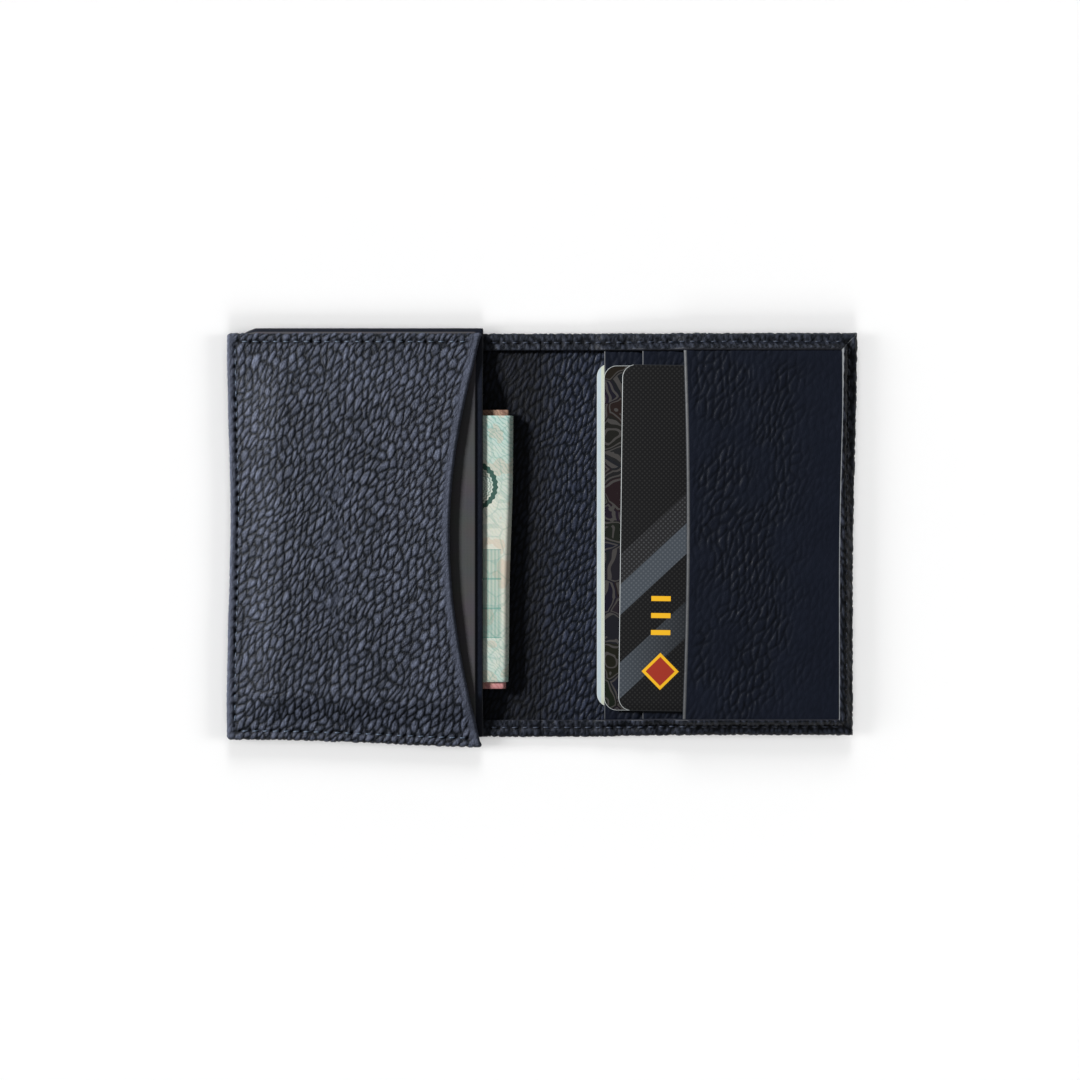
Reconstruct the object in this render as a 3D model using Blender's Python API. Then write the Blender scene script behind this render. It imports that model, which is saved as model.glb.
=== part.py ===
"""Bifold card holder, lying open: two covers joined by a spine strip, three card slots on the right
cover, a curved card pocket over a note pocket on the left cover, three cards and three folded notes.

X runs from the left cover to the right cover, Y along the cards' long side, Z up from the table.
Every sheet is laid on the one below it with the same clearance, so the heights follow from the
thicknesses. The covers turn up about two fold axes at the top of the inner facing.
"""

from math import cos, pi, radians, sin

import bmesh
import bpy
from mathutils import Matrix, Vector

MM = 0.001

# the covers' length and height follow from the cards they hold and these
SPINE_WIDTH = 13.0 * MM
FOLD_TO_CARD_ROOM = 7.42 * MM
SLOT_SIDE_ROOM = 3.4 * MM

# leather and cloth
OUTER_THICKNESS = 1.0 * MM
FACING_THICKNESS = 0.6 * MM
SLOT_PANEL_THICKNESS = 0.5 * MM
FRONT_PANEL_THICKNESS = 0.8 * MM
DIVIDER_THICKNESS = 0.6 * MM
LINING_THICKNESS = 0.3 * MM
CURVED_PANEL_THICKNESS = 0.9 * MM
HEM_THICKNESS = 0.8 * MM
HEM_WIDTH = 4.2 * MM

# clearances
LAYER_GAP = 0.2 * MM
FOLD_GAP = 0.1 * MM
HEM_RELIEF = 1.2 * MM
THREAD_RELIEF = 1.6 * MM
CUT_MARGIN = 5.0 * MM

# card slots
HEM_STEP_LENGTH = 1.3 * MM
CARD_SIDE_SLOPE = 1.6 * MM
CARD_END_SLOPE = 1.7 * MM
SLOPE_UNDER_HEM = 0.1 * MM
SLOPE_UNDER_END_HEM = 1.4 * MM

# standard bank-card format
CARD_LENGTH = 85.6 * MM
CARD_WIDTH = 53.98 * MM
CARD_THICKNESS = 0.76 * MM
CARD_CORNER_RADIUS = 3.18 * MM
CARD_CORNER_SEGMENTS = 5

# how far each card is set back from the one below, how far it stands out of its slot, how far it is
# off the middle, and how far it leans
ID_CARD_OUT = 2.0 * MM
ID_CARD_SHIFT = 0.0 * MM
PATTERNED_CARD_SETBACK = 1.7 * MM
PATTERNED_CARD_OUT = 9.7 * MM
PATTERNED_CARD_SHIFT = -0.7 * MM
BLACK_CARD_SETBACK = 4.0 * MM
BLACK_CARD_OUT = 16.8 * MM
BLACK_CARD_SHIFT = -0.9 * MM
BLACK_CARD_LEAN = radians(-0.7)
CARD_END_ROOM = 0.9 * MM

# left cover's pockets
FOLD_TO_DIVIDER_ROOM = 8.2 * MM
LINING_SETBACK = 1.7 * MM
MOUTH_CORNER_SETBACK = 0.7 * MM
MOUTH_DEPTH = 7.8 * MM
MOUTH_OPENING = 1.5 * MM
MOUTH_OPENING_REACH = 22.0 * MM
MOUTH_SEGMENTS = 14
POCKET_SEAM_WIDTH = 4.0 * MM

# notes, folded once, one inside the other
NOTE_HEIGHT = 66.0 * MM
NOTE_END_ROOM = 8.4 * MM
NOTE_TRAVEL = 5.0 * MM
NOTE_STACK_THICKNESS = 3.1 * MM
NOTE_THICKNESS = 0.4 * MM
NOTE_NESTING_GAP = 0.15 * MM
NOTE_FOLD_SETBACK = 0.5 * MM
NOTE_CENTRE_Y = -3.4 * MM
NOTE_SHIFTS = {"outer_note": 0.0, "middle_note": -1.7 * MM, "inner_note": 1.5 * MM}
NOTE_FOLD_SEGMENTS = 8

# sewing thread
STITCH_INSET = 2.4 * MM
THREAD_WIDTH = 0.6 * MM
THREAD_THICKNESS = 0.25 * MM
THREAD_GAP = 0.1 * MM

# derived places
FOLD_X = SPINE_WIDTH / 2
ID_CARD_X = FOLD_X + FOLD_TO_CARD_ROOM
PATTERNED_CARD_X = ID_CARD_X + PATTERNED_CARD_SETBACK
BLACK_CARD_X = PATTERNED_CARD_X + BLACK_CARD_SETBACK
LIFTED_X = BLACK_CARD_X + CARD_WIDTH + CARD_END_ROOM
SEWN_X = LIFTED_X + CARD_END_SLOPE
HEM_INNER_X = SEWN_X - SLOPE_UNDER_END_HEM
HALF_LENGTH = HEM_INNER_X + HEM_WIDTH
HEM_INNER_Y = CARD_LENGTH / 2 + SLOT_SIDE_ROOM
SEWN_Y = HEM_INNER_Y + SLOPE_UNDER_HEM
LIFTED_Y = SEWN_Y - CARD_SIDE_SLOPE
HALF_HEIGHT = HEM_INNER_Y + HEM_WIDTH
REAR_MOUTH_X = ID_CARD_X + ID_CARD_OUT
MIDDLE_MOUTH_X = PATTERNED_CARD_X + PATTERNED_CARD_OUT
FRONT_MOUTH_X = BLACK_CARD_X + BLACK_CARD_OUT
DIVIDER_MOUTH_X = -FOLD_X - FOLD_TO_DIVIDER_ROOM
FACING_BOTTOM = OUTER_THICKNESS + LAYER_GAP
FACING_TOP = FACING_BOTTOM + FACING_THICKNESS
HEM_BOTTOM = FACING_TOP + LAYER_GAP
HEM_TOP = HEM_BOTTOM + HEM_THICKNESS
INNER_END_X = HALF_LENGTH - OUTER_THICKNESS - LAYER_GAP
INNER_HALF_HEIGHT = HALF_HEIGHT - OUTER_THICKNESS - LAYER_GAP
CARD_LIFT = CARD_THICKNESS + LAYER_GAP
SLOT_STEP = SLOT_PANEL_THICKNESS + LAYER_GAP
FRONT_STEP = FRONT_PANEL_THICKNESS + LAYER_GAP
DIVIDER_BOTTOM = HEM_TOP + LAYER_GAP
LINING_OFFSET = DIVIDER_THICKNESS + LAYER_GAP / 2
CURVED_PANEL_OFFSET = LINING_OFFSET + LINING_THICKNESS + LAYER_GAP
NOTE_BOTTOM = FACING_TOP + LAYER_GAP
BULGE = NOTE_BOTTOM + NOTE_STACK_THICKNESS + LAYER_GAP - DIVIDER_BOTTOM
NOTE_FOLD_X = -FOLD_X - NOTE_FOLD_SETBACK
NOTE_END_X = -HALF_LENGTH + POCKET_SEAM_WIDTH + NOTE_END_ROOM
BULGE_END_X = NOTE_END_X - NOTE_TRAVEL - LAYER_GAP
STITCH_Y = HALF_HEIGHT - STITCH_INSET
STITCH_X = HALF_LENGTH - STITCH_INSET


def clear_scene():
    for thing in list(bpy.data.objects):
        bpy.data.objects.remove(thing, do_unlink=True)


def material(name, colour, roughness, metallic=0.0):
    made = bpy.data.materials.new(name)
    made.use_nodes = True
    shader = made.node_tree.nodes["Principled BSDF"]
    shader.inputs["Base Color"].default_value = (*colour, 1.0)
    shader.inputs["Roughness"].default_value = roughness
    shader.inputs["Metallic"].default_value = metallic
    made.diffuse_color = (*colour, 1.0)
    return made


def add_object(name, mesh_maker, finish):
    """Make an object from a bmesh, with its faces turned outward and its one material."""
    mesh = bpy.data.meshes.new(name)
    bmesh.ops.recalc_face_normals(mesh_maker, faces=mesh_maker.faces)
    mesh_maker.to_mesh(mesh)
    mesh_maker.free()
    made = bpy.data.objects.new(name, mesh)
    bpy.context.scene.collection.objects.link(made)
    if finish is not None:
        made.data.materials.append(finish)
    return made


def ramp(value, start, end):
    """0 before start, 1 after end and a straight line between; start may be the larger one."""
    return min(max((value - start) / (end - start), 0.0), 1.0)


def sheet(name, columns, rows, bottom, top, finish):
    """A closed sheet over a grid of x columns and y rows. Each column is a number or a function
    of y, and bottom and top are functions of (x, y)."""
    made = bmesh.new()
    across, along = len(columns) - 1, len(rows) - 1
    grid = bmesh.ops.create_grid(made, x_segments=across, y_segments=along, size=1.0)
    for vert in grid["verts"]:
        column = columns[round((vert.co.x + 1.0) / 2.0 * across)]
        y = rows[round((vert.co.y + 1.0) / 2.0 * along)]
        x = column(y) if callable(column) else column
        vert.co = Vector((x, y, bottom(x, y)))
    for face in list(made.faces):
        low = min(face.verts, key=lambda vert: (vert.co.y, vert.co.x))
        high = max(face.verts, key=lambda vert: (vert.co.y, vert.co.x))
        bmesh.utils.face_split(face, low, high)
    raised = bmesh.ops.extrude_face_region(made, geom=made.faces[:])
    for item in raised["geom"]:
        if isinstance(item, bmesh.types.BMVert):
            item.co.z = top(item.co.x, item.co.y)
    return add_object(name, made, finish)


def box(name, low, high, finish=None):
    made = bmesh.new()
    bmesh.ops.create_cube(made, size=1.0)
    size = Vector(high) - Vector(low)
    middle = (Vector(high) + Vector(low)) / 2
    bmesh.ops.scale(made, vec=size, verts=made.verts)
    bmesh.ops.translate(made, vec=middle, verts=made.verts)
    return add_object(name, made, finish)


def cut(target, cutter):
    cutter.hide_render = True
    cutter.display_type = "WIRE"
    modifier = target.modifiers.new(cutter.name, "BOOLEAN")
    modifier.operation = "DIFFERENCE"
    modifier.solver = "EXACT"
    modifier.object = cutter


def flat(height):
    return lambda x, y: height


def plus(surface, thickness):
    return lambda x, y: surface(x, y) + thickness


# ---- right cover ---------------------------------------------------------------------------


def card_lift(x, y):
    """How far the cards lift a panel: 1 over them, 0 in the sewn edge."""
    return ramp(abs(y), SEWN_Y, LIFTED_Y) * ramp(x, SEWN_X, LIFTED_X)


def rear_bottom(x, y):
    return FACING_TOP + LAYER_GAP + CARD_LIFT * card_lift(x, y)


def middle_bottom(x, y):
    return rear_bottom(x, y) + SLOT_STEP + CARD_LIFT * card_lift(x, y)


def front_bottom(x, y):
    return middle_bottom(x, y) + SLOT_STEP + CARD_LIFT * card_lift(x, y)


def hem_step(x, mouth_x):
    return ramp(x, mouth_x - LAYER_GAP - HEM_STEP_LENGTH, mouth_x - LAYER_GAP)


def right_hem_bottom(x, y):
    """The turned edge lies on the facing and climbs over each slot panel in turn."""
    climb = CARD_LIFT * card_lift(x, y)
    rise = hem_step(x, REAR_MOUTH_X) * (SLOT_STEP + climb)
    rise += hem_step(x, MIDDLE_MOUTH_X) * (SLOT_STEP + climb)
    rise += hem_step(x, FRONT_MOUTH_X) * (FRONT_STEP + climb)
    return HEM_BOTTOM + rise


def hem_columns():
    columns = []
    for mouth_x in (REAR_MOUTH_X, MIDDLE_MOUTH_X, FRONT_MOUTH_X):
        columns += [mouth_x - LAYER_GAP - HEM_STEP_LENGTH, mouth_x - LAYER_GAP]
    return columns + [LIFTED_X, SEWN_X]


def slot_rows(edge):
    return [-edge, -SEWN_Y, -LIFTED_Y, LIFTED_Y, SEWN_Y, edge]


def right_outer_leather(finish):
    """The cover's outer leather, turned over the inner panels on three sides."""
    leather = sheet(
        "right_outer_leather",
        [FOLD_X + FOLD_GAP] + hem_columns() + [HALF_LENGTH],
        slot_rows(HALF_HEIGHT),
        flat(0.0),
        plus(right_hem_bottom, HEM_THICKNESS),
        finish,
    )
    cavity_end = INNER_END_X + LAYER_GAP
    cavity_columns = [FOLD_X - CUT_MARGIN] + hem_columns() + [cavity_end]
    cavity_rows = slot_rows(INNER_HALF_HEIGHT + LAYER_GAP)
    cavity = sheet(
        "right_cavity", cavity_columns, cavity_rows, flat(OUTER_THICKNESS), right_hem_bottom, None
    )
    cut(leather, cavity)
    window = box(
        "right_window",
        (FOLD_X - CUT_MARGIN, -HEM_INNER_Y, OUTER_THICKNESS),
        (HEM_INNER_X, HEM_INNER_Y, OUTER_THICKNESS + 2 * CUT_MARGIN),
    )
    cut(leather, window)
    cut(leather, fold_relief("right_fold_relief", FOLD_X))


def fold_relief(name, fold_x):
    """Takes the turned edges back from a fold, so that they don't meet when it bends."""
    return box(
        name,
        (fold_x - HEM_RELIEF, -HALF_HEIGHT - CUT_MARGIN, OUTER_THICKNESS),
        (fold_x + HEM_RELIEF, HALF_HEIGHT + CUT_MARGIN, OUTER_THICKNESS + CUT_MARGIN),
    )


def right_inner_facing(finish):
    box(
        "right_inner_facing",
        (FOLD_X + FOLD_GAP, -INNER_HALF_HEIGHT, FACING_BOTTOM),
        (INNER_END_X, INNER_HALF_HEIGHT, FACING_TOP),
        finish,
    )


def slot_panel(name, mouth_x, bottom, thickness, finish):
    sheet(
        name,
        [mouth_x, LIFTED_X, SEWN_X, INNER_END_X],
        slot_rows(INNER_HALF_HEIGHT),
        bottom,
        plus(bottom, thickness),
        finish,
    )


def right_stitching(finish):
    """One row of thread along the top, end and bottom of the right cover's turned edge."""
    bottom = plus(right_hem_bottom, HEM_THICKNESS + THREAD_GAP)
    half_width = THREAD_WIDTH / 2
    columns = [FOLD_X + THREAD_RELIEF] + hem_columns() + [STITCH_X + half_width]
    rows = slot_rows(STITCH_Y + half_width)
    top = plus(bottom, THREAD_THICKNESS)
    thread = sheet("right_stitching", columns, rows, bottom, top, finish)
    inside = box(
        "right_stitching_inside",
        (-CUT_MARGIN, half_width - STITCH_Y, 0.0),
        (STITCH_X - half_width, STITCH_Y - half_width, 4 * CUT_MARGIN),
    )
    cut(thread, inside)


# ---- spine ---------------------------------------------------------------------------------


def spine_outer_leather(finish):
    """The middle strip of the outer leather, turned over at its top and bottom."""
    edge = FOLD_X - FOLD_GAP
    low = (-edge, -HALF_HEIGHT, 0.0)
    leather = box("spine_outer_leather", low, (edge, HALF_HEIGHT, HEM_TOP), finish)
    reach = edge + CUT_MARGIN
    inside = INNER_HALF_HEIGHT + LAYER_GAP
    cavity = box("spine_cavity", (-reach, -inside, OUTER_THICKNESS), (reach, inside, HEM_BOTTOM))
    cut(leather, cavity)
    window = box(
        "spine_window",
        (-reach, -HEM_INNER_Y, OUTER_THICKNESS),
        (reach, HEM_INNER_Y, HEM_TOP + CUT_MARGIN),
    )
    cut(leather, window)
    for side, name in ((-1, "spine_left_relief"), (1, "spine_right_relief")):
        cut(leather, fold_relief(name, side * FOLD_X))


def spine_inner_facing(finish):
    edge = FOLD_X - FOLD_GAP
    box(
        "spine_inner_facing",
        (-edge, -INNER_HALF_HEIGHT, FACING_BOTTOM),
        (edge, INNER_HALF_HEIGHT, FACING_TOP),
        finish,
    )


def spine_stitching(name, side, finish):
    reach = FOLD_X - THREAD_RELIEF
    low = HEM_TOP + THREAD_GAP
    middle = side * STITCH_Y
    box(
        name,
        (-reach, middle - THREAD_WIDTH / 2, low),
        (reach, middle + THREAD_WIDTH / 2, low + THREAD_THICKNESS),
        finish,
    )


# ---- left cover ----------------------------------------------------------------------------


def left_outer_leather(finish):
    """The left cover's outer leather, turned over the facing on three sides."""
    start = -FOLD_X - FOLD_GAP
    low = (-HALF_LENGTH, -HALF_HEIGHT, 0.0)
    leather = box("left_outer_leather", low, (start, HALF_HEIGHT, HEM_TOP), finish)
    inside = INNER_HALF_HEIGHT + LAYER_GAP
    cavity = box(
        "left_cavity",
        (-INNER_END_X - LAYER_GAP, -inside, OUTER_THICKNESS),
        (start + CUT_MARGIN, inside, HEM_BOTTOM),
    )
    cut(leather, cavity)
    window = box(
        "left_window",
        (-HEM_INNER_X, -HEM_INNER_Y, OUTER_THICKNESS),
        (start + CUT_MARGIN, HEM_INNER_Y, HEM_TOP + CUT_MARGIN),
    )
    cut(leather, window)
    cut(leather, fold_relief("left_fold_relief", -FOLD_X))


def left_inner_facing(finish):
    box(
        "left_inner_facing",
        (-INNER_END_X, -INNER_HALF_HEIGHT, FACING_BOTTOM),
        (-FOLD_X - FOLD_GAP, INNER_HALF_HEIGHT, FACING_TOP),
        finish,
    )


def note_span():
    """The lowest and highest y that any of the folded notes reaches."""
    shifts = NOTE_SHIFTS.values()
    low = NOTE_CENTRE_Y - NOTE_HEIGHT / 2 + min(shifts)
    high = NOTE_CENTRE_Y + NOTE_HEIGHT / 2 + max(shifts)
    return low - LAYER_GAP, high + LAYER_GAP


def pocket_rows():
    """Rows for the left pockets: seams, slopes and an even spacing over the notes."""
    low, high = note_span()
    seam = HALF_HEIGHT - POCKET_SEAM_WIDTH
    rows = [-HALF_HEIGHT, -seam, (low - seam) / 2]
    rows += [low + (high - low) * step / MOUTH_SEGMENTS for step in range(MOUTH_SEGMENTS + 1)]
    return rows + [(high + seam) / 2, seam, HALF_HEIGHT]


def bulge(x, y):
    """How far the notes lift the pocket panels: 1 over the notes, 0 along the seams."""
    low, high = note_span()
    seam = HALF_HEIGHT - POCKET_SEAM_WIDTH
    across = ramp(y, seam, high) * ramp(y, -seam, low)
    return across * ramp(x, -HALF_LENGTH + POCKET_SEAM_WIDTH, BULGE_END_X)


def divider_bottom(x, y):
    return DIVIDER_BOTTOM + BULGE * bulge(x, y)


def curved_panel_bottom(x, y):
    """The curved panel lies on the lining, and its free edge stands a little open."""
    near_mouth = ramp(x, DIVIDER_MOUTH_X - MOUTH_OPENING_REACH, DIVIDER_MOUTH_X)
    opening = MOUTH_OPENING * bulge(x, y) * near_mouth
    return divider_bottom(x, y) + CURVED_PANEL_OFFSET + opening


def mouth_x(y):
    """The curved mouth: a shallow hollow, deepest in the middle."""
    share = cos(pi / 2 * min(abs(y) / HALF_HEIGHT, 1.0))
    return DIVIDER_MOUTH_X - MOUTH_CORNER_SETBACK - MOUTH_DEPTH * share


def pocket_columns(edge):
    start = -HALF_LENGTH + POCKET_SEAM_WIDTH
    steps = [-HALF_LENGTH, start, BULGE_END_X, DIVIDER_MOUTH_X - MOUTH_OPENING_REACH]
    return steps + [edge]


def note_pocket_divider(finish):
    sheet(
        "note_pocket_divider",
        pocket_columns(DIVIDER_MOUTH_X),
        pocket_rows(),
        divider_bottom,
        plus(divider_bottom, DIVIDER_THICKNESS),
        finish,
    )


def divider_lining(finish):
    bottom = plus(divider_bottom, LINING_OFFSET)
    sheet(
        "divider_lining",
        pocket_columns(DIVIDER_MOUTH_X - LINING_SETBACK),
        pocket_rows(),
        bottom,
        plus(bottom, LINING_THICKNESS),
        finish,
    )


def curved_pocket_front(finish):
    sheet(
        "curved_pocket_front",
        pocket_columns(mouth_x),
        pocket_rows(),
        curved_panel_bottom,
        plus(curved_panel_bottom, CURVED_PANEL_THICKNESS),
        finish,
    )


def left_stitching(finish):
    """One row of thread along the top, end and bottom of the curved panel."""
    bottom = plus(flat(DIVIDER_BOTTOM + CURVED_PANEL_OFFSET), CURVED_PANEL_THICKNESS + THREAD_GAP)
    half_width = THREAD_WIDTH / 2
    end = mouth_x(STITCH_Y) - THREAD_WIDTH
    edge = STITCH_Y + half_width
    thread = sheet(
        "left_stitching",
        [-STITCH_X - half_width, end],
        [-edge, edge],
        bottom,
        plus(bottom, THREAD_THICKNESS),
        finish,
    )
    inside = box(
        "left_stitching_inside",
        (half_width - STITCH_X, half_width - STITCH_Y, 0.0),
        (CUT_MARGIN, STITCH_Y - half_width, 4 * CUT_MARGIN),
    )
    cut(thread, inside)


# ---- contents ------------------------------------------------------------------------------


def card(name, left_x, shift, bottom, lean, finish):
    """A bank-format card standing out of its slot, with four rounded corners."""
    made = bmesh.new()
    bmesh.ops.create_cube(made, size=1.0)
    bmesh.ops.scale(made, vec=(CARD_WIDTH, CARD_LENGTH, CARD_THICKNESS), verts=made.verts)
    corners = [edge for edge in made.edges if edge.verts[0].co.z != edge.verts[1].co.z]
    bmesh.ops.bevel(
        made,
        geom=corners,
        offset=CARD_CORNER_RADIUS,
        segments=CARD_CORNER_SEGMENTS,
        profile=0.5,
        affect="EDGES",
    )
    middle = Vector((left_x + CARD_WIDTH / 2, shift, bottom + CARD_THICKNESS / 2))
    place = Matrix.Translation(middle) @ Matrix.Rotation(lean, 4, "Z")
    bmesh.ops.transform(made, matrix=place, verts=made.verts)
    add_object(name, made, finish)


def folded_note(name, level, shift, finish):
    """A note folded once, its fold towards the middle; level counts inward from the outer one."""
    inset = level * (NOTE_THICKNESS + NOTE_NESTING_GAP)
    outer = NOTE_STACK_THICKNESS / 2 - inset
    inner = outer - NOTE_THICKNESS
    turn_x = NOTE_FOLD_X - NOTE_STACK_THICKNESS / 2
    middle_z = NOTE_BOTTOM + NOTE_STACK_THICKNESS / 2
    angles = [pi * step / NOTE_FOLD_SEGMENTS - pi / 2 for step in range(NOTE_FOLD_SEGMENTS + 1)]
    outline = [(NOTE_END_X, middle_z - outer)]
    outline += [(turn_x + outer * cos(a), middle_z + outer * sin(a)) for a in angles]
    outline += [(NOTE_END_X, middle_z + outer), (NOTE_END_X, middle_z + inner)]
    outline += [(turn_x + inner * cos(a), middle_z + inner * sin(a)) for a in reversed(angles)]
    outline += [(NOTE_END_X, middle_z - inner)]
    low = NOTE_CENTRE_Y + shift - NOTE_HEIGHT / 2
    made = bmesh.new()
    side = made.faces.new([made.verts.new((x, low, z)) for x, z in outline])
    swept = bmesh.ops.extrude_face_region(made, geom=[side])
    moved = [item for item in swept["geom"] if isinstance(item, bmesh.types.BMVert)]
    bmesh.ops.translate(made, vec=(0.0, NOTE_HEIGHT, 0.0), verts=moved)
    add_object(name, made, finish)


def build():
    clear_scene()
    outer = material("navy_outer_leather", (0.030, 0.036, 0.055), 0.52)
    inner = material("navy_inner_leather", (0.018, 0.022, 0.036), 0.50)
    pocket = material("slate_pocket_leather", (0.042, 0.050, 0.072), 0.50)
    lining = material("grey_lining_cloth", (0.050, 0.047, 0.052), 0.85)
    thread = material("blue_grey_thread", (0.075, 0.090, 0.140), 0.60)
    pale_card = material("pale_blue_card", (0.520, 0.660, 0.740), 0.35)
    dark_card = material("dark_patterned_card", (0.050, 0.050, 0.060), 0.35)
    black_card = material("black_card", (0.018, 0.019, 0.022), 0.35)
    green_paper = material("pale_green_note_paper", (0.560, 0.620, 0.520), 0.80)
    pink_paper = material("pink_note_paper", (0.640, 0.420, 0.400), 0.80)
    brown_paper = material("brown_note_paper", (0.300, 0.200, 0.140), 0.80)

    right_outer_leather(outer)
    right_inner_facing(inner)
    slot_panel("rear_slot_panel", REAR_MOUTH_X, rear_bottom, SLOT_PANEL_THICKNESS, inner)
    slot_panel("middle_slot_panel", MIDDLE_MOUTH_X, middle_bottom, SLOT_PANEL_THICKNESS, inner)
    slot_panel("front_pocket_panel", FRONT_MOUTH_X, front_bottom, FRONT_PANEL_THICKNESS, inner)
    right_stitching(thread)

    spine_outer_leather(outer)
    spine_inner_facing(inner)
    spine_stitching("spine_stitching_top", 1, thread)
    spine_stitching("spine_stitching_bottom", -1, thread)

    left_outer_leather(outer)
    left_inner_facing(inner)
    note_pocket_divider(inner)
    divider_lining(lining)
    curved_pocket_front(pocket)
    left_stitching(thread)

    first = FACING_TOP + LAYER_GAP
    level = CARD_LIFT + SLOT_STEP
    card("id_card", ID_CARD_X, ID_CARD_SHIFT, first, 0.0, pale_card)
    card("patterned_card", PATTERNED_CARD_X, PATTERNED_CARD_SHIFT, first + level, 0.0, dark_card)
    top = first + 2 * level
    card("black_card", BLACK_CARD_X, BLACK_CARD_SHIFT, top, BLACK_CARD_LEAN, black_card)

    papers = (green_paper, pink_paper, brown_paper)
    for level_in, (name, paper) in enumerate(zip(NOTE_SHIFTS, papers)):
        folded_note(name, level_in, NOTE_SHIFTS[name], paper)


build()
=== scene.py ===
import math

import bpy
import numpy as np
from mathutils import Matrix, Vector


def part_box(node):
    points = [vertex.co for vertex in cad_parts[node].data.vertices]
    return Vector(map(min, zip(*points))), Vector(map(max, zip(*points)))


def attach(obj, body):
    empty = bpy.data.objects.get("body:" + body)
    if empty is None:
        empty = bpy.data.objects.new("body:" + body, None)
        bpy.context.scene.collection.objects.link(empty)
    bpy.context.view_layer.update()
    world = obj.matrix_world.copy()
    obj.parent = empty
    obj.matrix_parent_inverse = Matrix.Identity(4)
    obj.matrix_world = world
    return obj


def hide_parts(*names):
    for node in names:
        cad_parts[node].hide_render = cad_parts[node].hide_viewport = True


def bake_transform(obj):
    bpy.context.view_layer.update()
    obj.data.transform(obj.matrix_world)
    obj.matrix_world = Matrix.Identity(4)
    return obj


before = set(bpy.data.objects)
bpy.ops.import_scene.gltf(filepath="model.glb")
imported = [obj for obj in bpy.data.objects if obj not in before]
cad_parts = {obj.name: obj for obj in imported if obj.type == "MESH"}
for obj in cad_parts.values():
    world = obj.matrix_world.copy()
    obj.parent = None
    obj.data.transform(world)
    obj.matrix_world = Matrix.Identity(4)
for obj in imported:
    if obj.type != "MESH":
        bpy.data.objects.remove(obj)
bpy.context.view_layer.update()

mm = 0.001   # everything below is drawn in millimetres and turned into metres when a mesh is made

# heights of the layers and places of the edges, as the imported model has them
cover = {
    "halfLength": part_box("right_outer_leather")[1][0] / mm,
    "halfHeight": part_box("right_outer_leather")[1][1] / mm,
    "leather": 1.0,            # thickness of the outer leather
    "hemWidth": 4.2,
    "hemTop": 2.8,             # height of the turned edge where it lies on the facing
    "edgeReach": 1.5,          # how far in from the outline the edge starts to round
    "spacing": 0.40,           # size of the mesh cells on the leather
    "stitchInset": 2.4,
    "stitchPitch": 2.6,
    "cardStep": 0.96,          # what one card adds to the stack
}
slots = {
    "rear": {"mouth": 15.92, "bottom": 2.0, "lift": 0.96, "thick": 0.5, "rise": 0.7},
    "middle": {"mouth": 25.32, "bottom": 2.7, "lift": 1.92, "thick": 0.5, "rise": 0.7},
    "front": {"mouth": 36.0, "bottom": 3.4, "lift": 2.88, "thick": 0.8, "rise": 1.0},
}


def smooth(value, start, end):
    share = np.clip((value - start) / (end - start), 0.0, 1.0)
    return share * share * (3.0 - 2.0 * share)


def bell(value, middle, width):
    return np.exp(-((value - middle) / width) ** 2)


def hashed(a, b, seed):
    scattered = np.sin(a * 127.1 + b * 311.7 + seed * 74.7) * 43758.5453
    return scattered - np.floor(scattered)


def drift(x, y, size, seed):   # slow random field from -1 to 1
    a, b = x / size, y / size
    cellA, cellB = np.floor(a), np.floor(b)
    fa, fb = a - cellA, b - cellB
    fa = fa * fa * (3.0 - 2.0 * fa)
    fb = fb * fb * (3.0 - 2.0 * fb)
    low = hashed(cellA, cellB, seed) * (1 - fa) + hashed(cellA + 1, cellB, seed) * fa
    high = hashed(cellA, cellB + 1, seed) * (1 - fa) + hashed(cellA + 1, cellB + 1, seed) * fa
    return 2.0 * (low * (1 - fb) + high * fb) - 1.0


def stations(*spans):   # (start, end, step) spans put end to end
    places = [spans[0][0]]
    for start, end, step in spans:
        count = max(1, int(math.ceil(abs(end - start) / step)))
        places += [start + (end - start) * n / count for n in range(1, count + 1)]
    return np.array(places)


def settle(x, y):   # the leather's outline isn't quite square
    right = smooth(x, 40.0, 79.0) * (0.3 + 1.1 * smooth(y, 50.0, -10.0))
    left = smooth(x, -40.0, -79.0) * (0.6 + 1.0 * bell(y, 4.0, 28.0))
    up = 0.6 * smooth(x, 10.0, 40.0) * smooth(y, -25.0, -50.0)
    return x - right + left, y + up


def cells(a, b, jitter, seed):
    cellA, cellB = np.floor(a), np.floor(b)
    near = np.full(a.shape, 9.0)
    second = np.full(a.shape, 9.0)
    own = np.zeros(a.shape)
    for stepA in (-1, 0, 1):
        for stepB in (-1, 0, 1):
            ca, cb = cellA + stepA, cellB + stepB
            pa = ca + 0.5 + jitter * (hashed(ca, cb, seed) - 0.5)
            pb = cb + 0.5 + jitter * (hashed(ca, cb, seed + 7) - 0.5)
            away = np.hypot(a - pa, b - pb)
            closer = away < near
            second = np.where(closer, near, np.minimum(second, away))
            own = np.where(closer, hashed(ca, cb, seed + 3), own)
            near = np.where(closer, away, near)
    return second - near, own


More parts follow.
